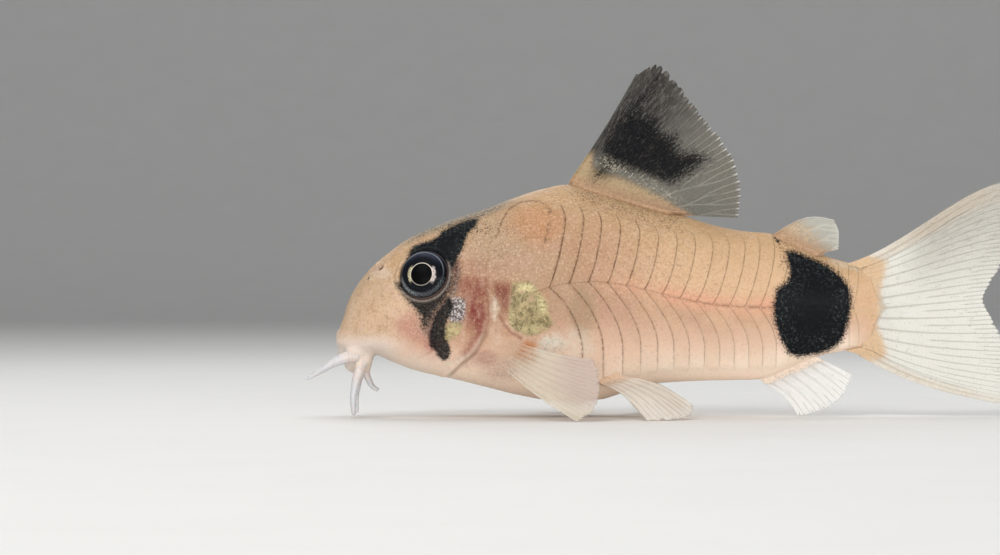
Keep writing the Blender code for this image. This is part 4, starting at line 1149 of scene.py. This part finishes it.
def make_plate(number, upper, side):
    """One plate: a thin bowed shell from the widest place to the back or the belly."""
    piece, across, down = sheet("plate", len(PLATE_ACROSS) - 1, PLATE_ROWS)
    column = np.rint(across * (len(PLATE_ACROSS) - 1)).astype(int)
    row = np.rint(down * PLATE_ROWS).astype(int)
    across, rise = PLATE_ACROSS[column], PLATE_RISE[column]
    end = upper_plate_end(number) if upper else lower_plate_end(number)
    front, rear = plate_line(number), plate_line(number + 1) + PLATE_OVERLAP
    places = front + (rear - front) * PLATE_ACROSS
    turn = even_turns(places, min(0.5, end), max(0.5, end), PLATE_ROWS + 1, leaning=True)
    turn = (turn[:, ::-1] if upper else turn)[column, row]
    along = places[column] + lean_at(places[column], turn)
    if upper:
        along = along - 0.4 * smooth(0.7, 1.0, down) ** 1.5 * float(smooth(16.0, 8.0, np.float64(number)))
    along = np.minimum(along, LAST_ALONG)
    fade = smooth(1.0, 0.86, down)
    flat = skin(along, turn)
    rise = rise * (1 - 0.65 * patch(flat[:, 0], flat[:, 2], TAIL_BLOT, 0.8))
    rise = rise * (1 - 0.15 * smooth(16.0, 26.0, along))
    raised = PLATE_FRONT_RAISED + (PLATE_REAR_RAISED - PLATE_FRONT_RAISED) * rise * (0.4 + 0.6 * fade)
    raised -= 0.06 * (1 - fade) + 0.02 * (row == 0) * smooth(21.0, 28.0, along)
    points = raised_skin(along, turn, raised)
    marks = skin_marks(points, turn)
    strength = 0.4 + 0.6 * smooth(28.0, 15.0, along)
    strength *= np.where(turn <= 0.5, 1.0, 0.85 * smooth(0.84, 0.66, turn))
    broad = 0.03 * smooth(24.0, 16.0, along)
    stripe = smooth(0.4, 0.0, np.abs(points[:, 2] - widest_height(along))) * smooth(21.0, 27.0, along)
    marks["seam"] = strongest(
        marks["seam"],
        smooth(0.925 - broad, 0.965 - broad, across) * strength * smooth(1.0, 0.9, down),
        0.35 * stripe * (row <= 1),
    )
    marks["tone"] = np.full(len(points), 0.2 + 0.6 * ((number * TONE_STEP + TONE_SHIFT * upper) % 1.0))
    marks["crease_shade"] = np.zeros(len(points))
    points[:, 1] *= side
    lay(piece, points)
    note(piece, marks)
    face_like_skin(piece, side)
    cell = (number + 0.05 + 0.9 * column / (len(PLATE_ACROSS) - 1)) / PLATE_LINES
    lay_out(piece, "OFBake", np.stack([0.5 * cell, 0.01 + 0.98 * down], -1))
    outer = len(piece.data.polygons)
    give_thickness(piece, PLATE_THICK, -1.0)
    chart = piece.data.uv_layers["OFBake"].data
    for face in list(piece.data.polygons)[outer:2 * outer]:
        for index in face.loop_indices:
            chart[index].uv.x += 0.5
    return piece


def face_like_skin(piece, side):
    """Turns a plate's faces away from the body before it gets its thickness."""
    sideways = sum(face.normal.y * face.area for face in piece.data.polygons)
    if sideways * side < 0:
        piece.data.flip_normals()


def make_plates(surface):
    for side_name, side in SIDES.items():
        for row, upper in (("upper", True), ("lower", False)):
            plates = [make_plate(number, upper, side) for number in range(PLATES_IN_ROW)]
            select_only(*plates)
            bpy.ops.object.join()
            finish_piece(active_piece(f"{row}_plates_{side_name}"), surface, "pink_flesh")


def eye_frame(side):
    """The eye's centre, and its directions forward, up and outward, for one side."""
    normal = outward(EYE_ALONG, EYE_TURN)
    centre = skin(EYE_ALONG, EYE_TURN) - normal * EYE_SUNK
    upward = unit(np.array([0, 0, 1.0]) - normal * normal[2])
    back = np.cross(upward, normal)
    back *= np.sign(back[0])
    mirror = np.array([1.0, side, 1.0])
    return centre * mirror, back * mirror, upward * mirror, normal * mirror


def make_eye(side_name, side, surface):
    piece, _, _ = ball("eyeball_" + side_name, EYE_COLUMNS, EYE_RINGS)
    x, y, z = corners_of(piece).T
    centre, back, upward, normal = eye_frame(side)
    dome = np.where(z > 0, 1.0 + 0.04 * z, 1.0)
    disc = EYE_RADIUS * (x[:, None] * back + y[:, None] * upward)
    lay(piece, centre + disc + (EYE_DEPTH * z * dome)[:, None] * normal)
    lay_out(piece, "eye", np.stack([x, y], -1) * EYE_RADIUS / EYE_CHART + 0.5)
    return finish_piece(piece, surface, "eye_dark", "eye_" + side_name)


def rod(name, path, radii, ends):
    """A soft round rod along a path, closed and rounded at both ends."""
    piece, share, ring = ball(name, ROD_COLUMNS, len(path) - 1)
    ahead = unit(np.gradient(path, axis=0))
    first = unit(np.cross(ahead, (0, 1, 0)))
    second = np.cross(ahead, first)
    along = np.linspace(0, 1, len(path))
    closing = np.sqrt(np.clip(1 - (1 - np.minimum(along, 1 - along) / ends).clip(0) ** 2, 0, 1))
    angle = 2 * np.pi * share
    spoke = np.cos(angle)[:, None] * first[ring] + np.sin(angle)[:, None] * second[ring]
    lay(piece, path[ring] + (radii * closing)[ring][:, None] * spoke)
    length = np.concatenate([[0], np.cumsum(np.linalg.norm(np.diff(path, axis=0), axis=1))])
    note(piece, {"tip": along[ring], "ray_reach": length[ring]})
    return piece


def bent(corners, count):
    """Points on a smooth curve through a few corners."""
    share = np.linspace(0, 1, len(corners))
    at = np.linspace(0, 1, count)
    return np.stack([curve(list(zip(share, [c[axis] for c in corners])))(at) for axis in range(3)], -1)


# For each barbel its path, the radii of its root and tip, and how soon it thins
BARBELS = {
    "upper_barbel": (
        [
            (1.6, 1.75, 4.35), (1.0, 2.1, 4.3), (0.15, 2.38, 3.95), (-0.85, 2.62, 3.38),
            (BARBEL_TIP_ALONG, 2.85, 2.7),
        ],
        0.5, 0.12, 1.25,
    ),
    "lower_barbel": (
        [(2.0, 1.6, 3.95), (1.77, 1.93, 3.42), (1.45, 2.25, 2.4), (1.3, 2.4, 1.2), (1.35, 2.5, 0.14)],
        0.44, 0.14, 0.85,
    ),
    "chin_barbel": (
        [(2.05, 0.58, 3.75), (2.1, 0.62, 3.22), (2.3, 0.7, 2.6), (2.6, 0.75, 2.1), (3.0, 0.8, 1.85)],
        0.32, 0.1, 0.85,
    ),
}
BARBEL_RINGS = 49
BARBEL_ROUNDED = 0.06
ROD_COLUMNS = 20


def make_barbels(surface):
    for name, (corners, root, tip, thinning) in BARBELS.items():
        for side_name, side in SIDES.items():
            path = bent(corners, BARBEL_RINGS) * [1, side, 1]
            radii = root + (tip - root) * np.linspace(0, 1, len(path)) ** thinning
            node = f"{name}_{side_name}"
            piece = rod(node + "_flesh", path, radii, BARBEL_ROUNDED)
            finish_piece(piece, surface, "barbel_flesh", node)


def lip_path(front):
    """Round one lip, from one corner of the mouth over the front to the other."""
    around = np.pi * (np.linspace(0, 1, LIP_CORNERS) - 0.5)
    corner = np.array(MOUTH_CORNER)
    forward = np.cos(around)
    return np.stack([
        corner[0] + (front[0] - corner[0]) * forward,
        corner[1] * np.sin(around),
        corner[2] + (front[2] - corner[2]) * forward,
    ], -1)


def make_nostrils(surface):
    """A short collar round each front nostril, and a flap standing before each rear one."""
    for side_name, side in SIDES.items():
        for which, (along, turn, stands) in NOSTRILS.items():
            foot = raised_skin(along, turn, -0.05)
            ahead = unit(outward(along, turn) + NOSTRIL_LEAN[which])
            first = unit(np.cross(ahead, [0, 0, 1.0]))
            second = np.cross(ahead, first)
            spread = 1.0 if which == "front" else 0.5
            angle = 2 * np.pi * np.linspace(0, 1, NOSTRIL_CORNERS) * spread + (1 - spread) * np.pi
            middle = foot + ahead * stands
            circle = np.cos(angle)[:, None] * first + np.sin(angle)[:, None] * second
            path = middle + NOSTRIL_RADIUS * circle
            piece = wall(f"nostril_{which}_{side_name}", path, foot - middle, side)
            finish_piece(piece, surface, "face_flesh")


def wall(name, path, down, side):
    """A thin soft wall that hangs from a path down to the skin, flaring out towards it."""
    piece, share, drop = sheet(name, len(path) - 1, NOSTRIL_ROWS)
    row = np.rint(share * (len(path) - 1)).astype(int)
    flare = 1 + NOSTRIL_FLARE * drop[:, None]
    centre = path.mean(axis=0)
    points = centre + (path[row] - centre) * flare + down * drop[:, None]
    marks = skin_marks(np.abs(points), np.full(len(points), 0.3))
    marks["pale"] = 0.3 * smooth(1.2, 0.0, drop)
    marks["back"] = 0.0
    points = points * [1, side, 1]
    lay(piece, points)
    note(piece, marks)
    give_thickness(piece, NOSTRIL_WALL, 0.0)
    return piece


# Fins: how far from the skin they start, half the web's thickness, how near the floor they come, and the
# step for finding how far apart their rays lie
FIN_GAP = 0.3
MIDLINE_GAP = 1.18 * FIN_GAP
WEB_HALF = 0.035
FLOOR_GAP = 0.02
FAN_STEP = 0.004


def across(points):
    """A smooth curve through (share, (along, out, height)) points."""
    axes = [curve([(share, place[axis]) for share, place in points]) for axis in range(3)]
    return lambda share: np.stack([axis(share) for axis in axes], -1)


def back_root(along):
    return np.stack([along, np.zeros_like(along), back_height(along) + MIDLINE_GAP], -1)


def belly_root(along):
    return np.stack([along, np.zeros_like(along), belly_height(along) - MIDLINE_GAP], -1)


def ray_profile(offset, spine, reach, pitch, columns, split, second_split, fill, ray_wide):
    """1 on the middle of each branch of a ray, falling to 0 at its sides."""
    first = np.where(spine, 0, smooth(split - 0.06, split + 0.34, reach))
    second = np.where(spine, 0, smooth(second_split - 0.05, second_split + 0.3, reach))
    half = 0.5 * fill * (1 - 0.5 * first) * (1 - 0.5 * second)
    half = np.minimum(half, ray_wide * (1 - 0.4 * reach) / np.maximum(pitch, 0.05))
    half = np.maximum(half, 1.2 / columns)
    best = np.zeros(len(offset))
    for a in (-1, 1):
        for b in (-1, 1):
            off = (offset - a * 0.25 * first - b * 0.125 * second) / half
            best = np.maximum(best, np.sqrt(np.clip(1 - off * off, 0, 1)))
    return best


def make_fan(name, node, surface, slot, rays, root, tips, bow, flesh_reach, side=1.0, columns=22, rows=70,
             ray_half=0.1, spine_half=0.0, fill=0.86, ray_wide=9.0, split=0.45, second_split=0.72,
             fray=0.04, sunk=0.8, flare=0.35, flare_reach=0.9, wave=0.05, sheath=0.0, tuck=(0.0, 0.0, 0.0),
             flesh_soft=0.5, veil=0.0, dusting=0.0, black=(), freckle=0.0, tan=0.0, dim=None):
    """A fin: a thin web over rays that split twice, frayed at its edge and fleshy at its root."""
    spacing = 1 / (rays - 1)
    piece, share, row = sheet(name, (rays - 1) * columns, rows)
    tip_curve = across(tips)
    length = np.linalg.norm(tip_curve(share) - root(share), axis=1)
    offset = (share / spacing + 0.5) % 1.0 - 0.5
    spine = (np.rint(share / spacing) == 0) & (spine_half > 0)

    def place(at, reach):
        start, end = root(at), tip_curve(at)
        return start + (end - start) * reach[:, None] + bow(at, np.clip(reach, 0, 1))

    def profile(reach, pitch):
        return ray_profile(offset, spine, reach, pitch, columns, split, second_split, fill, ray_wide)

    rng = np.random.default_rng(len(name) + rays)
    ragged = curve(list(zip(np.linspace(0, 1, rays * 4), rng.uniform(0.2, 1.0, rays * 4))))(share)
    edge = profile(np.ones(len(share)), 0.4 * np.ones(len(share)))
    shorten = 1 - fray * (1 - edge) * ragged - 0.4 * fray * ragged * ~spine
    sink = sunk / length
    reach = -sink + (shorten + sink) * row
    points = place(share, reach)
    points += np.array(tuck) * [1, side, 1] * smooth(0.0, -1.0, reach / sink)[:, None]
    clipped = np.clip(reach, 0, 1)
    before, after = np.clip(share - FAN_STEP, 0, 1), np.clip(share + FAN_STEP, 0, 1)
    apart = np.linalg.norm(place(after, clipped) - place(before, clipped), axis=1)
    ray = profile(clipped, apart / (after - before) * spacing)
    from_root = reach * length

    thick = np.where(spine, spine_half * (1 - 0.75 * clipped), ray_half * (1 - 0.68 * clipped))
    half = WEB_HALF + np.maximum(thick - WEB_HALF, 0) * ray + flare * smooth(flare_reach, -0.7, from_root)
    above = points[:, 2] - back_height(points[:, 0])
    fillet = np.exp(-np.clip(above, 0.0, 9.0) / 0.4) * smooth(-0.7, -0.1, above)
    half += sheath * fillet * smooth(0.0, 0.15, share) * smooth(1.0, 0.9, share)
    half *= 1 - 0.6 * smooth(0.93, 1.0, row) * (1 - ray)
    points[:, 1] += side * wave * np.sin(9 * share + 4 * reach) * clipped
    points[:, 2] = np.maximum(points[:, 2], FLOOR_GAP + half * 0.6 * (clipped > 0.5))

    none = np.zeros(len(share))
    flesh_end = flesh_reach(share)
    inner = smooth(0.04, 0.15, share) * smooth(0.95, 0.7, share)
    sides = np.maximum(smooth(0.13, 0.04, share), smooth(0.9, 0.97, share))
    marks = {
        "ray": ray * smooth(-0.2, 0.4, from_root), "ray_reach": from_root,
        # Pale ray tips, and a painted highlight down the leading edge of the first ray
        "margin": np.maximum(smooth(0.94, 1.0, row) * ray, edge * smooth(0.02, 0.004, share)),
        "flesh": smooth(flesh_end + flesh_soft, flesh_end - flesh_soft, from_root),
        "veil": 1 - veil * smooth(4.0, 0.8, from_root) * (1 - 0.3 * ray * smooth(0.4, 1.5, from_root)),
        "root": float(sheath > 0) * smooth(1.1, 0.0, above),
        "dusting": dusting * bump(flesh_end + 0.4, 0.85, from_root) * inner,
        "dim": none if dim is None else dim(share, clipped),
        "black": patch(points[:, 0], points[:, 2], black, 1.2) if black else none,
        "tan": tan * sides * smooth(1.0, 0.55, reach),
    }
    marks["freckle"] = strongest(
        freckle * smooth(3.0, 0.3, from_root),
        0.7 * marks["tan"],
        0.9 * patch(points[:, 0], points[:, 2], black, 1.6) if black else none,
    )
    lay(piece, points)
    note(piece, marks)
    lay_out(piece, "fan", np.stack([share * (rays - 1), from_root], -1))
    thicken(piece, half)
    return finish_piece(piece, surface, slot, node)


def thicken(piece, half):
    """Gives a sheet its own half thickness at each corner, on both sides."""
    group = piece.vertex_groups.new(name="thick")
    for index, value in enumerate(half / half.max()):
        group.add([index], float(value), "REPLACE")
    give_thickness(piece, 2 * half.max(), 0.0, group.name)
    piece.vertex_groups.clear()


def rise(share, reach, back, up):
    """A bow of the rays that is strongest half way out on the first ray."""
    lift = np.sin(np.pi * reach) * (1 - share)
    return np.stack([back * lift, 0 * lift, up * lift], -1)


# Each fin's root, along the body or as (share, (along, turn)), and its tips, (share, (along, out, height))
DORSAL_ROOT = (16.5, 24.2)
DORSAL_TIPS = [
    (0.0, (21.1, 0.0, 24.1)), (1 / 7, (22.75, 0.0, 24.9)), (2 / 7, (24.65, 0.0, 22.75)),
    (3 / 7, (26.0, 0.0, 21.0)), (4 / 7, (27.2, 0.0, 19.5)), (5 / 7, (28.1, 0.0, 17.9)),
    (6 / 7, (28.55, 0.0, 15.8)), (1.0, (28.35, 0.0, 14.0)),
]
ADIPOSE_ROOT = (31.2, 34.6)
ADIPOSE_TIPS = [(0.0, (35.05, 0.0, 13.85)), (0.5, (35.4, 0.0, 12.9)), (1.0, (35.35, 0.0, 11.75))]
ANAL_ROOT = (30.2, 34.3)
ANAL_TIPS = [
    (0.0, (32.5, 0.0, 0.0)), (0.3, (34.1, 0.0, 0.35)), (0.65, (35.6, 0.0, 1.3)), (1.0, (36.4, 0.0, 2.95)),
]
CAUDAL_RAYS = 16
CAUDAL_FRONT_ALONG = 36.7
CAUDAL_FRONT_SHARE = 1 / (CAUDAL_RAYS - 1)
CAUDAL_TIPS = [
    (0.0, (TAIL_TIP_ALONG, 0.0, 15.7)), (0.14, (49.1, 0.0, 14.3)), (0.29, (47.8, 0.0, 12.0)),
    (0.42, (46.3, 0.0, 9.7)), (0.5, (45.6, 0.0, 8.3)), (0.58, (46.2, 0.0, 6.9)), (0.71, (47.6, 0.0, 4.4)),
    (0.86, (48.8, 0.0, 1.8)), (1.0, (49.1, 0.0, 0.55)),
]
CAUDAL_UPPER_BOW = 9.0
CAUDAL_LOWER_BOW = 0.75
PECTORAL_ROOT = [(0.0, (11.3, 0.665)), (0.5, (11.7, 0.625)), (1.0, (12.2, 0.585))]
PECTORAL_TIPS = [
    (0.0, (16.8, 8.7, 0.0)), (0.25, (17.9, 8.75, 0.75)), (0.55, (18.35, 8.4, 2.0)), (0.8, (18.3, 7.8, 3.2)),
    (1.0, (17.9, 7.1, 4.2)),
]
PELVIC_ROOT = [(0.0, (18.5, 0.78)), (1.0, (19.9, 0.765))]
PELVIC_TIPS = [
    (0.0, (21.6, 7.2, 0.0)), (0.4, (23.3, 6.6, 0.0)), (0.75, (24.7, 5.2, 0.25)), (1.0, (25.0, 3.9, 0.9)),
]


def caudal_root(share):
    """Round the end of the stalk, from its top to its bottom."""
    end_turn = (share - CAUDAL_FRONT_SHARE) / (1 - 2 * CAUDAL_FRONT_SHARE)
    turn = np.clip(end_turn, 0, 1)
    along = STALK_END_ALONG + lean_at(np.full(len(share), STALK_END_ALONG), turn)
    height = skin(along, turn)[:, 2] + MIDLINE_GAP * (1 - 2 * turn)
    along = along + FIN_GAP
    forward = np.where(end_turn < 0, 1 - share / CAUDAL_FRONT_SHARE, 0.0)
    forward = np.where(end_turn > 1, 1 - (1 - share) / CAUDAL_FRONT_SHARE, forward)
    along = along + (CAUDAL_FRONT_ALONG - along) * forward
    height = np.where(end_turn < 0, back_height(along) + MIDLINE_GAP, height)
    height = np.where(end_turn > 1, belly_height(along) - MIDLINE_GAP, height)
    return np.stack([along, np.zeros(len(share)), height], -1)


def caudal_bow(share, reach):
    lift = CAUDAL_UPPER_BOW * reach**2 * (1 - reach) ** 0.75 * np.maximum(0, 1 - 2 * share) ** 1.5
    fall = CAUDAL_LOWER_BOW * np.sin(np.pi * reach**0.8) * np.maximum(0, 2 * share - 1)
    return np.stack([0 * lift, 0 * lift, lift - fall], -1)


def make_midline_fins(finishes):
    def back(first, last, lowered=0.0):
        def root(share):
            place = back_root(first + (last - first) * share)
            return place - lowered * smooth(0.45, 1.0, share)[:, None] * [0, 0, 1]
        return root

    def belly(share):
        return belly_root(ANAL_ROOT[0] + (ANAL_ROOT[1] - ANAL_ROOT[0]) * share)

    make_fan(
        "dorsal_fin_web", "dorsal_fin", finishes["dorsal"], "dark_fin", 8, back(*DORSAL_ROOT, 0.42),
        DORSAL_TIPS, lambda share, reach: rise(share, reach, 0.12, -0.05),
        flesh_reach=lambda share: 1.5 - 0.5 * share + 0.9 * smooth(0.13, 0.02, share), flesh_soft=0.7,
        columns=38, rows=90, spine_half=0.2, ray_half=0.09, ray_wide=0.08, split=0.28, second_split=0.5,
        fray=0.045, flare=0.2, flare_reach=1.9, wave=0.06, sheath=0.8, tuck=(0.0, 0.0, -0.8),
        black=DORSAL_BLACK, freckle=0.7, dusting=0.9,
        # Painted shade over the front and top of the web
        dim=lambda share, reach: smooth(0.62, 0.2, share) * smooth(0.05, 0.28, reach),
    )
    make_fan(
        "adipose_fin_web", "adipose_fin", finishes["adipose"], "pale_fin", 4, back(*ADIPOSE_ROOT),
        ADIPOSE_TIPS, lambda share, reach: rise(share, reach, 0.0, 0.55),
        flesh_reach=lambda share: 1.5 - 1.2 * share, flesh_soft=1.2, columns=26, rows=40, spine_half=0.18,
        ray_half=0.04, ray_wide=0.12, fray=0.0, wave=0.03, sheath=0.35, tuck=(0.0, 0.0, -0.4), freckle=0.5,
    )
    make_fan(
        "anal_fin_web", "anal_fin", finishes["anal"], "pale_fin", 7, belly, ANAL_TIPS,
        lambda share, reach: rise(share, reach, 0.25, 0.2),
        flesh_reach=lambda share: 0.1 + 0 * share, columns=26, rows=50, fray=0.07, fill=0.8, ray_half=0.05,
    )
    make_fan(
        "caudal_fin_web", "caudal_fin", finishes["caudal"], "pale_fin", CAUDAL_RAYS, caudal_root,
        CAUDAL_TIPS, caudal_bow, flesh_reach=lambda share: 0.85 - bump(0.5, 0.3, share), flesh_soft=0.6,
        columns=20, rows=100, split=0.14, second_split=0.55, fray=0.03, sunk=0.9, flare=0.3,
        flare_reach=1.5, wave=0.1, fill=0.94, ray_half=0.065, tan=0.4,
        # Painted shade over the upper lobe
        dim=lambda share, reach: 0.52 * smooth(0.55, 0.1, share) * smooth(0.1, 0.4, reach),
    )


def make_paired_fins(finishes):
    def on_skin(roots, gap, side):
        laid = [(share, raised_skin(along, turn, gap) * [1, side, 1]) for share, (along, turn) in roots]
        return across(laid)

    def mirrored(tips, mirror):
        return [(share, np.array(place) * mirror) for share, place in tips]

    for side_name, side in SIDES.items():
        mirror = np.array([1.0, side, 1.0])
        make_fan(
            "pectoral_fin_web_" + side_name, "pectoral_fin_" + side_name, finishes["pectoral"], "pale_fin",
            9, on_skin(PECTORAL_ROOT, 0.3, side), mirrored(PECTORAL_TIPS, mirror),
            lambda share, reach: np.sin(np.pi * reach)[:, None] * [-0.2, 0.5, -0.15] * mirror,
            flesh_reach=lambda share: -0.9 + 0 * share, flesh_soft=0.2, side=side, columns=20, rows=60,
            spine_half=0.2, ray_half=0.055, ray_wide=0.16, fray=0.03, sunk=0.6, flare=0.08, veil=1.0,
            tuck=(0.0, -0.9, 0.0),
            dim=lambda share, reach: 0.6 * smooth(0.05, 0.45, share) * smooth(0.4, 0.8, reach),
        )
        make_fan(
            "pelvic_fin_web_" + side_name, "pelvic_fin_" + side_name, finishes["pelvic"], "pale_fin",
            6, on_skin(PELVIC_ROOT, 0.39, side), mirrored(PELVIC_TIPS, mirror),
            lambda share, reach: np.sin(np.pi * reach)[:, None] * [0.0, 0.1, 0.45] * mirror,
            flesh_reach=lambda share: 0.7 + 0 * share, flesh_soft=1.0, side=side, columns=22, rows=50,
            ray_half=0.055, ray_wide=0.2, fray=0.06, sunk=0.6, flare=0.14, veil=0.3, tuck=(0.0, -0.5, 0.2),
        )


# The floor and the wall behind it, in metres
FLOOR_PALE = (0.850, 0.845, 0.830)
FLOOR_SHADE = (0.810, 0.805, 0.790)
FLOOR_WIDTH = 12.0
FLOOR_NEAR = -8.0
WALL_AWAY = 0.9
WALL_HEIGHT = 3.0
WALL_BEND = 0.35


def stage_finish():
    f = Finish("pale_floor")
    colour = f.mix(FLOOR_SHADE, FLOOR_PALE, f.noise(9.0, 4.0))
    grain = f.relief(f.noise(0.6, 3.0), 0.02)
    f.set(Base_Color=colour, Roughness=0.75, Specular_IOR_Level=0.25, Normal=grain)
    return f.material


def make_stage():
    """A pale floor that curves up into a pale wall far behind."""
    bpy.ops.object.select_all(action="DESELECT")
    bpy.ops.mesh.primitive_plane_add(size=1.0)
    floor = active_piece("floor")
    bm = bmesh.new()
    bm.from_mesh(floor.data)
    for vert in bm.verts:
        vert.co.x *= FLOOR_WIDTH
        vert.co.y = WALL_AWAY if vert.co.y > 0 else FLOOR_NEAR
    far = [edge for edge in bm.edges if all(vert.co.y > 0 for vert in edge.verts)]
    grown = bmesh.ops.extrude_edge_only(bm, edges=far)["geom"]
    for vert in grown:
        if isinstance(vert, bmesh.types.BMVert):
            vert.co.z = WALL_HEIGHT
    bmesh.ops.bevel(bm, geom=far, offset=WALL_BEND, segments=24, affect="EDGES", profile=0.5)
    bm.to_mesh(floor.data)
    bm.free()
    select_only(floor)
    bpy.ops.object.shade_smooth()
    floor.data.materials.append(stage_finish())


def soft_light(name, place, aim, size, power, colour=(1.0, 1.0, 1.0), spread=180):
    lamp = bpy.data.lights.new(name, "AREA")
    lamp.spread = math.radians(spread)
    lamp.shape = "RECTANGLE"
    lamp.size, lamp.size_y = size
    lamp.energy = power
    lamp.color = colour
    holder = bpy.data.objects.new(name, lamp)
    holder.location = place
    holder.rotation_euler = (Vector(aim) - Vector(place)).to_track_quat("-Z", "Y").to_euler()
    bpy.context.scene.collection.objects.link(holder)


WORLD_COLOUR = (0.86, 0.88, 0.90, 1.0)
WORLD_LIGHT = 0.3


def make_lights():
    middle = (0.0, 0.0, 0.009)
    soft_light("key", (-0.12, -0.20, 0.24), middle, (0.16, 0.16), 0.425, (1.0, 0.985, 0.96))
    soft_light("low_fill", (0.05, -0.40, 0.045), middle, (0.6, 0.08), 1.1, (1.0, 0.99, 0.98))
    soft_light("top", (0.02, 0.10, 0.30), middle, (0.3, 0.2), 0.4)
    soft_light("rim", (-0.06, 0.30, 0.19), middle, (0.3, 0.1), 0.028, spread=55)
    world = bpy.data.worlds.new("studio")
    world.use_nodes = True
    backdrop = world.node_tree.nodes["Background"]
    backdrop.inputs["Color"].default_value = WORLD_COLOUR
    backdrop.inputs["Strength"].default_value = WORLD_LIGHT
    bpy.context.scene.world = world


# The camera: its place along and above the fish in millimetres, its distance in metres and its lens
CAMERA_ALONG = 11.54
CAMERA_HEIGHT = 9.8
CAMERA_AWAY = 0.23467
CAMERA_LENS = 120.0
CAMERA_SENSOR = 36.0
CAMERA_NEAREST = 0.001


def make_camera():
    lens = bpy.data.cameras.new("side_view")
    lens.lens = CAMERA_LENS
    lens.sensor_width = CAMERA_SENSOR
    lens.clip_start = CAMERA_NEAREST
    camera = bpy.data.objects.new("side_view", lens)
    camera.location = ((CAMERA_ALONG - MIDDLE_ALONG) * MM, -CAMERA_AWAY, CAMERA_HEIGHT * MM)
    camera.rotation_euler = (math.radians(90), 0, 0)
    bpy.context.scene.collection.objects.link(camera)
    bpy.context.scene.camera = camera


# For each kind of fin: web and ray colours, how dense each is, flesh colour, strength of the rays' joints,
# how pale its tips and the painted highlight on its leading edge are, and where it differs the colour it is
# dimmed with (painted shade of a dark background, on the dorsal and caudal fins) and how streaky its web is
FIN_LOOKS = {
    "dorsal": ((0.170, 0.160, 0.130), (0.255, 0.245, 0.210), 0.58, 0.74, (0.430, 0.320, 0.190), 0.12, 0.75),
    "caudal": (
        (0.520, 0.500, 0.445), (0.700, 0.685, 0.630), 0.94, 0.98, (0.655, 0.465, 0.295), 0.06, 0.1,
        (0.170, 0.160, 0.130), 0.2,
    ),
    "adipose": ((0.480, 0.470, 0.420), (0.540, 0.525, 0.470), 0.75, 0.82, (0.530, 0.410, 0.285), 0.1, 0.5),
    "anal": ((0.780, 0.755, 0.710), (0.870, 0.850, 0.820), 0.45, 0.7, (0.860, 0.700, 0.570), 0.06, 0.2),
    "pectoral": (
        (0.700, 0.620, 0.490), (0.720, 0.640, 0.530), 0.5, 0.6, (0.600, 0.430, 0.330), 0.05, 0.2,
        (0.500, 0.360, 0.350),
    ),
    "pelvic": ((0.780, 0.700, 0.600), (0.850, 0.780, 0.690), 0.42, 0.62, (0.660, 0.470, 0.330), 0.06, 0.2),
}


def main():
    surface = skin_finish()
    make_skin(surface)
    make_plates(surface)
    eye = eye_finish()
    for side_name, side in SIDES.items():
        make_eye(side_name, side, eye)
    make_barbels(barbel_finish())
    make_nostrils(surface)
    finishes = {kind: fin_finish(kind + "_fin_skin", *looks) for kind, looks in FIN_LOOKS.items()}
    make_midline_fins(finishes)
    make_paired_fins(finishes)
    make_stage()
    make_lights()
    make_camera()
    bpy.context.scene.view_settings.view_transform = "Standard"


main()
